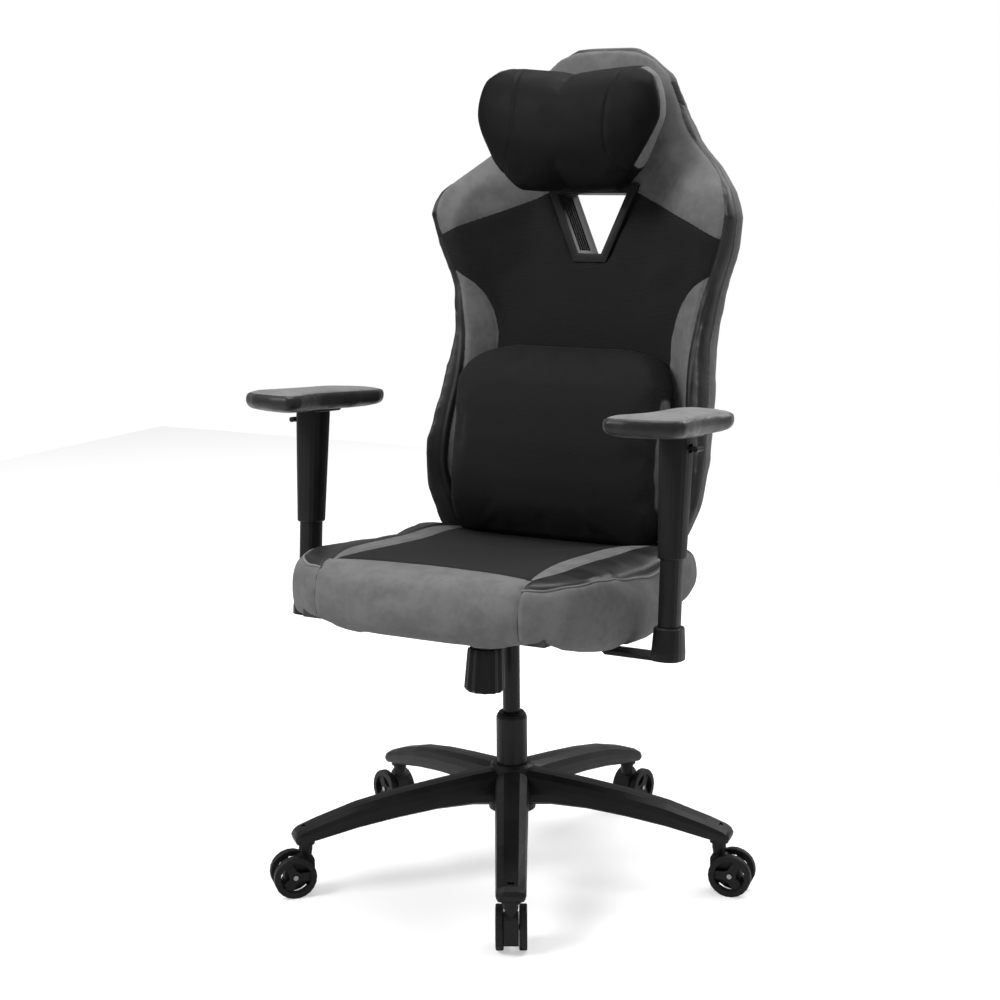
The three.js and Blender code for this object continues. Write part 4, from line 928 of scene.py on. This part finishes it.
def make_strap(back):
    """A flat band round the head of the back, lying on its covers."""
    tree = surface_of(back)
    _, middle_y, middle_z = in_seat_frame(points_of(frame["nodes"]["pillow_strap"])).mean(axis=0)
    mesh = bmesh.new()
    rings = []
    for row in range(STRAP_ROWS):
        z = middle_z + STRAP_HEIGHT * (row / (STRAP_ROWS - 1) - 0.5)
        ring = []
        for i in range(STRAP_POINTS):
            angle = 2 * math.pi * i / STRAP_POINTS
            outward = Vector((math.cos(angle), math.sin(angle), 0))
            start = Vector(from_seat_frame(np.array([[0, middle_y, z]]))[0])
            heading = SEAT_FRAME.to_3x3() @ outward
            place, normal, _, _ = tree.ray_cast(start + heading * 0.4, -heading, 0.4)
            ring.append(place + heading * STRAP_GAP)
        rings.append(ring)
    even = np.array([[tuple(p) for p in ring] for ring in rings])
    for _ in range(3):
        even = (np.roll(even, 1, axis=1) + np.roll(even, -1, axis=1) + 2 * even) / 4
    verts = [[mesh.verts.new(p) for p in ring] for ring in even]
    for a, b in zip(verts[:-1], verts[1:]):
        for i in range(STRAP_POINTS):
            j = (i + 1) % STRAP_POINTS
            mesh.faces.new((a[i], a[j], b[j], b[i]))
    data = bpy.data.meshes.new("pillow_strap_web")
    bmesh.ops.recalc_face_normals(mesh, faces=mesh.faces)
    mesh.to_mesh(data)
    mesh.free()
    strap = bpy.data.objects.new("pillow_strap_web", data)
    bpy.context.scene.collection.objects.link(strap)
    applied(strap, "SOLIDIFY", thickness=STRAP_THICKNESS, offset=1.0)
    applied(strap, "BEVEL", width=0.0005, segments=2, limit_method="ANGLE")
    s = Shade("webbing")
    axes = s.node("ShaderNodeSeparateXYZ")
    s.plug(axes.inputs[0], s.place)
    ribs = s.math("SINE", s.math("MULTIPLY", axes.outputs["Z"], 2 * math.pi / (2.4 * MM)))
    look = {
        "colour": s.tint(s.spread(ribs, -1, 1), grey(0.006), grey(0.02)),
        "rough": 0.8,
        "height": s.math("MULTIPLY", ribs, 0.2),
    }
    dress(strap, s.finish(look))
    smooth_shaded(strap, 40)
    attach(strap, "neck_pillow")
    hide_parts("pillow_strap")


def make_opening_trim():
    """The moulding in the opening, with a lip that laps the cover round it."""
    piece = copy_of("opening_moulding", "opening_trim")
    place = in_seat_frame(points_of(piece))
    inner = np.array([(-1, 1) * OPENING_SILL, OPENING_SILL, OPENING_HEAD, (-1, 1) * OPENING_HEAD]) * MM
    away = -depth_inside(place[:, [0, 2]], inner)
    middle = (place[:, [0, 2]].max(axis=0) + place[:, [0, 2]].min(axis=0)) / 2
    lip = np.where(away > 0.004, OPENING_LIP, 0.0)[:, None]
    place[:, [0, 2]] += (place[:, [0, 2]] - middle) * lip
    set_points(piece, from_seat_frame(place))
    applied(piece, "BEVEL", width=0.0012, segments=3, limit_method="ANGLE")
    dress(piece, moulded("opening plastic", colours().plastic * 1.6, 0.4, 1500, 0.07))
    smooth_shaded(piece, 35)
    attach(piece, "seat")
    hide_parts("opening_trim")


def make_opening_ribs():
    """Raised lines along the two slanted walls inside the opening's trim."""
    sill, head = OPENING_SILL * MM, OPENING_HEAD * MM
    slope = head - sill
    s = Shade("rib plastic")
    finish = s.finish({"colour": (*grey(colours().plastic * 1.5), 1), "rough": 0.4, "height": s.noise(1500)})
    for side, turn in (("left", 1), ("right", -1)):
        deselect()
        bpy.ops.mesh.primitive_cube_add(size=1)
        ribs = bpy.context.object
        ribs.name = "opening_ribs_" + side
        bpy.ops.object.mode_set(mode="EDIT")
        bpy.ops.transform.resize(value=(RIB_RISE, RIB_WIDTH, np.hypot(*slope) * 0.93))
        bpy.ops.object.mode_set(mode="OBJECT")
        applied(ribs, "ARRAY", count=RIB_COUNT, relative_offset_displace=(0, RIB_SPACING / RIB_WIDTH, 0))
        applied(ribs, "BEVEL", width=0.0003, segments=2, limit_method="ANGLE")
        middle = (sill + head) / 2
        lean = Matrix.Rotation(math.atan2(slope[0], slope[1]), 4, "Y")
        place = Matrix.Translation((middle[0], RIB_FRONT, middle[1])) @ lean
        mirror = Matrix.Diagonal((turn, 1, 1, 1))
        set_points(ribs, into(SEAT_FRAME @ mirror @ place, points_of(ribs)))
        only(ribs)
        bpy.ops.object.mode_set(mode="EDIT")
        bpy.ops.mesh.select_all(action="SELECT")
        bpy.ops.mesh.normals_make_consistent(inside=False)
        bpy.ops.object.mode_set(mode="OBJECT")
        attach(dress(ribs, finish), "seat")


def make_arm_pads():
    covering = None
    for side in ("left", "right"):
        node = f"arm_{side}_pad"
        piece = copy_of(f"arm_{side}_pad_cover", node)
        soften(piece, 0.004, 3)
        inflate(piece, 2.0, 0.0025, settle=3)
        refined(piece)
        height = in_seat_frame(points_of(piece))[:, 2]
        store(piece, "top", height - height.max() + PAD_TOP)
        if covering is None:
            s = Shade("pad covering")
            under = leather_look(s, colours().leather * 1.2, 0.38)
            over = suede_look(s, colours().suede * 1.25)
            covering = s.finish(layered(s, under, over, s.attribute("top")), sheen=0.1)
        dress(piece, covering)
        smooth_shaded(piece)
        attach(piece, node)
        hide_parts(node)


def finish_hard_parts():
    """Better finishes for the nodes of the frame that stay."""
    c = colours()
    nylon = moulded("black nylon", c.plastic, 0.42, 1100, 0.10)
    plastic = moulded("black plastic", c.plastic * 0.8, 0.46, 1500, 0.07)
    tread = moulded("black tread", c.plastic * 0.9, 0.5, 900, 0.08)
    coat = moulded("black coat", c.coat, 0.38, 1900, 0.06, metallic=0.0)
    steel = moulded("plain steel", 0.35, 0.3, 1500, 0.03, metallic=1.0, scratches=0.08)
    ply = moulded("dark plywood", 0.04, 0.7, 500, 0.1)
    slots = {row["node"]: row["material_slot"] for row in frame["record"]["subparts"]}
    finish = {
        "nylon": nylon,
        "plastic": plastic,
        "tread": tread,
        "black_steel": coat,
        "steel": steel,
        "plywood": ply,
        "suede": plastic,
        "knit": plastic,
        "leather": plastic,
    }
    for name, node in frame["nodes"].items():
        node.data.materials.clear()
        node.data.materials.append(finish[slots.get(name, "plastic")])


# ------------------------------------------------------------------------------------------------
# Operators
# ------------------------------------------------------------------------------------------------


class CHAIR_OT_hard_parts(bpy.types.Operator):
    """Give the frame's hard parts their finishes"""

    bl_idname = "chair.hard_parts"
    bl_label = "Hard parts"

    def execute(self, context):
        finish_hard_parts()
        return {"FINISHED"}


class CHAIR_OT_seat(bpy.types.Operator):
    """Upholster the seat"""

    bl_idname = "chair.seat"
    bl_label = "Seat"

    def execute(self, context):
        make_seat()
        return {"FINISHED"}


class CHAIR_OT_back(bpy.types.Operator):
    """Upholster the back and hang the neck pillow on it"""

    bl_idname = "chair.back"
    bl_label = "Back and pillow"

    def execute(self, context):
        back = make_back()
        make_pillow()
        make_strap(back)
        make_opening_trim()
        make_opening_ribs()
        return {"FINISHED"}


class CHAIR_OT_lumbar(bpy.types.Operator):
    """Upholster the lumbar pad"""

    bl_idname = "chair.lumbar"
    bl_label = "Lumbar pad"

    def execute(self, context):
        make_lumbar()
        return {"FINISHED"}


class CHAIR_OT_arm_pads(bpy.types.Operator):
    """Upholster the two arm pads"""

    bl_idname = "chair.arm_pads"
    bl_label = "Arm pads"

    def execute(self, context):
        make_arm_pads()
        return {"FINISHED"}


class CHAIR_OT_studio(bpy.types.Operator):
    """Set up the floor, the lights and the camera"""

    bl_idname = "chair.studio"
    bl_label = "Studio"

    def execute(self, context):
        make_studio(context.scene.chair_studio)
        return {"FINISHED"}


def area_light(name, place, target, width, power):
    deselect()
    bpy.ops.object.light_add(type="AREA", location=place)
    light = bpy.context.object
    light.name = name
    light.data.shape = "RECTANGLE"
    light.data.size = width
    light.data.size_y = width * 0.8
    light.data.energy = power
    light.rotation_euler = (Vector(target) - Vector(place)).to_track_quat("-Z", "Y").to_euler()
    return light


def make_studio(setting):
    deselect()
    bpy.ops.mesh.primitive_plane_add(size=2 * setting.floor, location=(0, 0, 0))
    floor = bpy.context.object
    floor.name = "floor"
    bpy.ops.object.transform_apply(location=True, rotation=True, scale=True)
    s = Shade("pale floor")
    tone = s.tint(s.noise(3, 2), (0.70, 0.70, 0.70), (0.72, 0.72, 0.72))
    seen = s.node("ShaderNodeLightPath").outputs["Is Camera Ray"]
    s.surface.inputs["Emission Color"].default_value = (1, 1, 1, 1)
    s.plug(s.surface.inputs["Emission Strength"], s.math("MULTIPLY", seen, FLOOR_GLOW))
    dress(floor, s.finish({"colour": tone, "rough": 0.8, "height": 0.0}, specular=0.2))

    world = bpy.data.worlds.new("pale studio")
    bpy.context.scene.world = world
    world.use_nodes = True
    background = world.node_tree.nodes["Background"]
    background.inputs["Color"].default_value = (1, 1, 1, 1)
    # the backdrop shows white, but lights the chair more softly than that
    path = world.node_tree.nodes.new("ShaderNodeLightPath")
    strength = world.node_tree.nodes.new("ShaderNodeMapRange")
    strength.inputs["To Min"].default_value = setting.ambient
    strength.inputs["To Max"].default_value = 1.0
    world.node_tree.links.new(path.outputs["Is Camera Ray"], strength.inputs["Value"])
    world.node_tree.links.new(strength.outputs["Result"], background.inputs["Strength"])
    bpy.context.scene.view_settings.view_transform = "Standard"

    middle = (0, 0, 0.75)
    for name, place, size, power in LIGHTS:
        area_light(name, place, middle, size, power)

    heading, pitch, roll = setting.azimuth, setting.pitch, setting.roll
    ahead = Vector(
        (-math.sin(heading) * math.cos(pitch), math.cos(heading) * math.cos(pitch), -math.sin(pitch))
    )
    right = Vector((math.cos(heading), math.sin(heading), 0))
    up = right.cross(ahead)
    rolled_right = right * math.cos(roll) + up * math.sin(roll)
    rolled_up = up * math.cos(roll) - right * math.sin(roll)
    turn = Matrix((rolled_right, rolled_up, -ahead)).transposed().to_4x4()
    camera = bpy.data.objects.new("camera", bpy.data.cameras.new("camera"))
    bpy.context.scene.collection.objects.link(camera)
    camera.matrix_world = Matrix.Translation(setting.camera_place) @ turn
    camera.data.sensor_width = 36
    camera.data.lens = setting.lens
    camera.data.clip_end = 100
    bpy.context.scene.camera = camera


class CHAIR_PT_panel(bpy.types.Panel):
    """The chair's settings and its steps"""

    bl_idname = "CHAIR_PT_panel"
    bl_label = "Chair"
    bl_space_type = "VIEW_3D"
    bl_region_type = "UI"
    bl_category = "Chair"

    def draw(self, context):
        scene = context.scene
        for group in (scene.chair_colours, scene.chair_sizes, scene.chair_studio):
            box = self.layout.box()
            for name in group.__annotations__:
                box.prop(group, name)
        for step in STEPS:
            self.layout.operator(step.bl_idname)


GROUPS = (ChairColours, ChairSizes, StudioSettings)
STEPS = (
    CHAIR_OT_studio,
    CHAIR_OT_hard_parts,
    CHAIR_OT_seat,
    CHAIR_OT_back,
    CHAIR_OT_lumbar,
    CHAIR_OT_arm_pads,
)


def register():
    for item in (*GROUPS, *STEPS, CHAIR_PT_panel):
        bpy.utils.register_class(item)
    bpy.types.Scene.chair_colours = PointerProperty(type=ChairColours)
    bpy.types.Scene.chair_sizes = PointerProperty(type=ChairSizes)
    bpy.types.Scene.chair_studio = PointerProperty(type=StudioSettings)


def unregister():
    del bpy.types.Scene.chair_studio
    del bpy.types.Scene.chair_sizes
    del bpy.types.Scene.chair_colours
    for item in reversed((*GROUPS, *STEPS, CHAIR_PT_panel)):
        bpy.utils.unregister_class(item)


def main():
    register()
    bpy.ops.chair.studio()
    bpy.ops.chair.hard_parts()
    bpy.ops.chair.seat()
    bpy.ops.chair.back()
    bpy.ops.chair.lumbar()
    bpy.ops.chair.arm_pads()


if __name__ == "__main__":
    main()
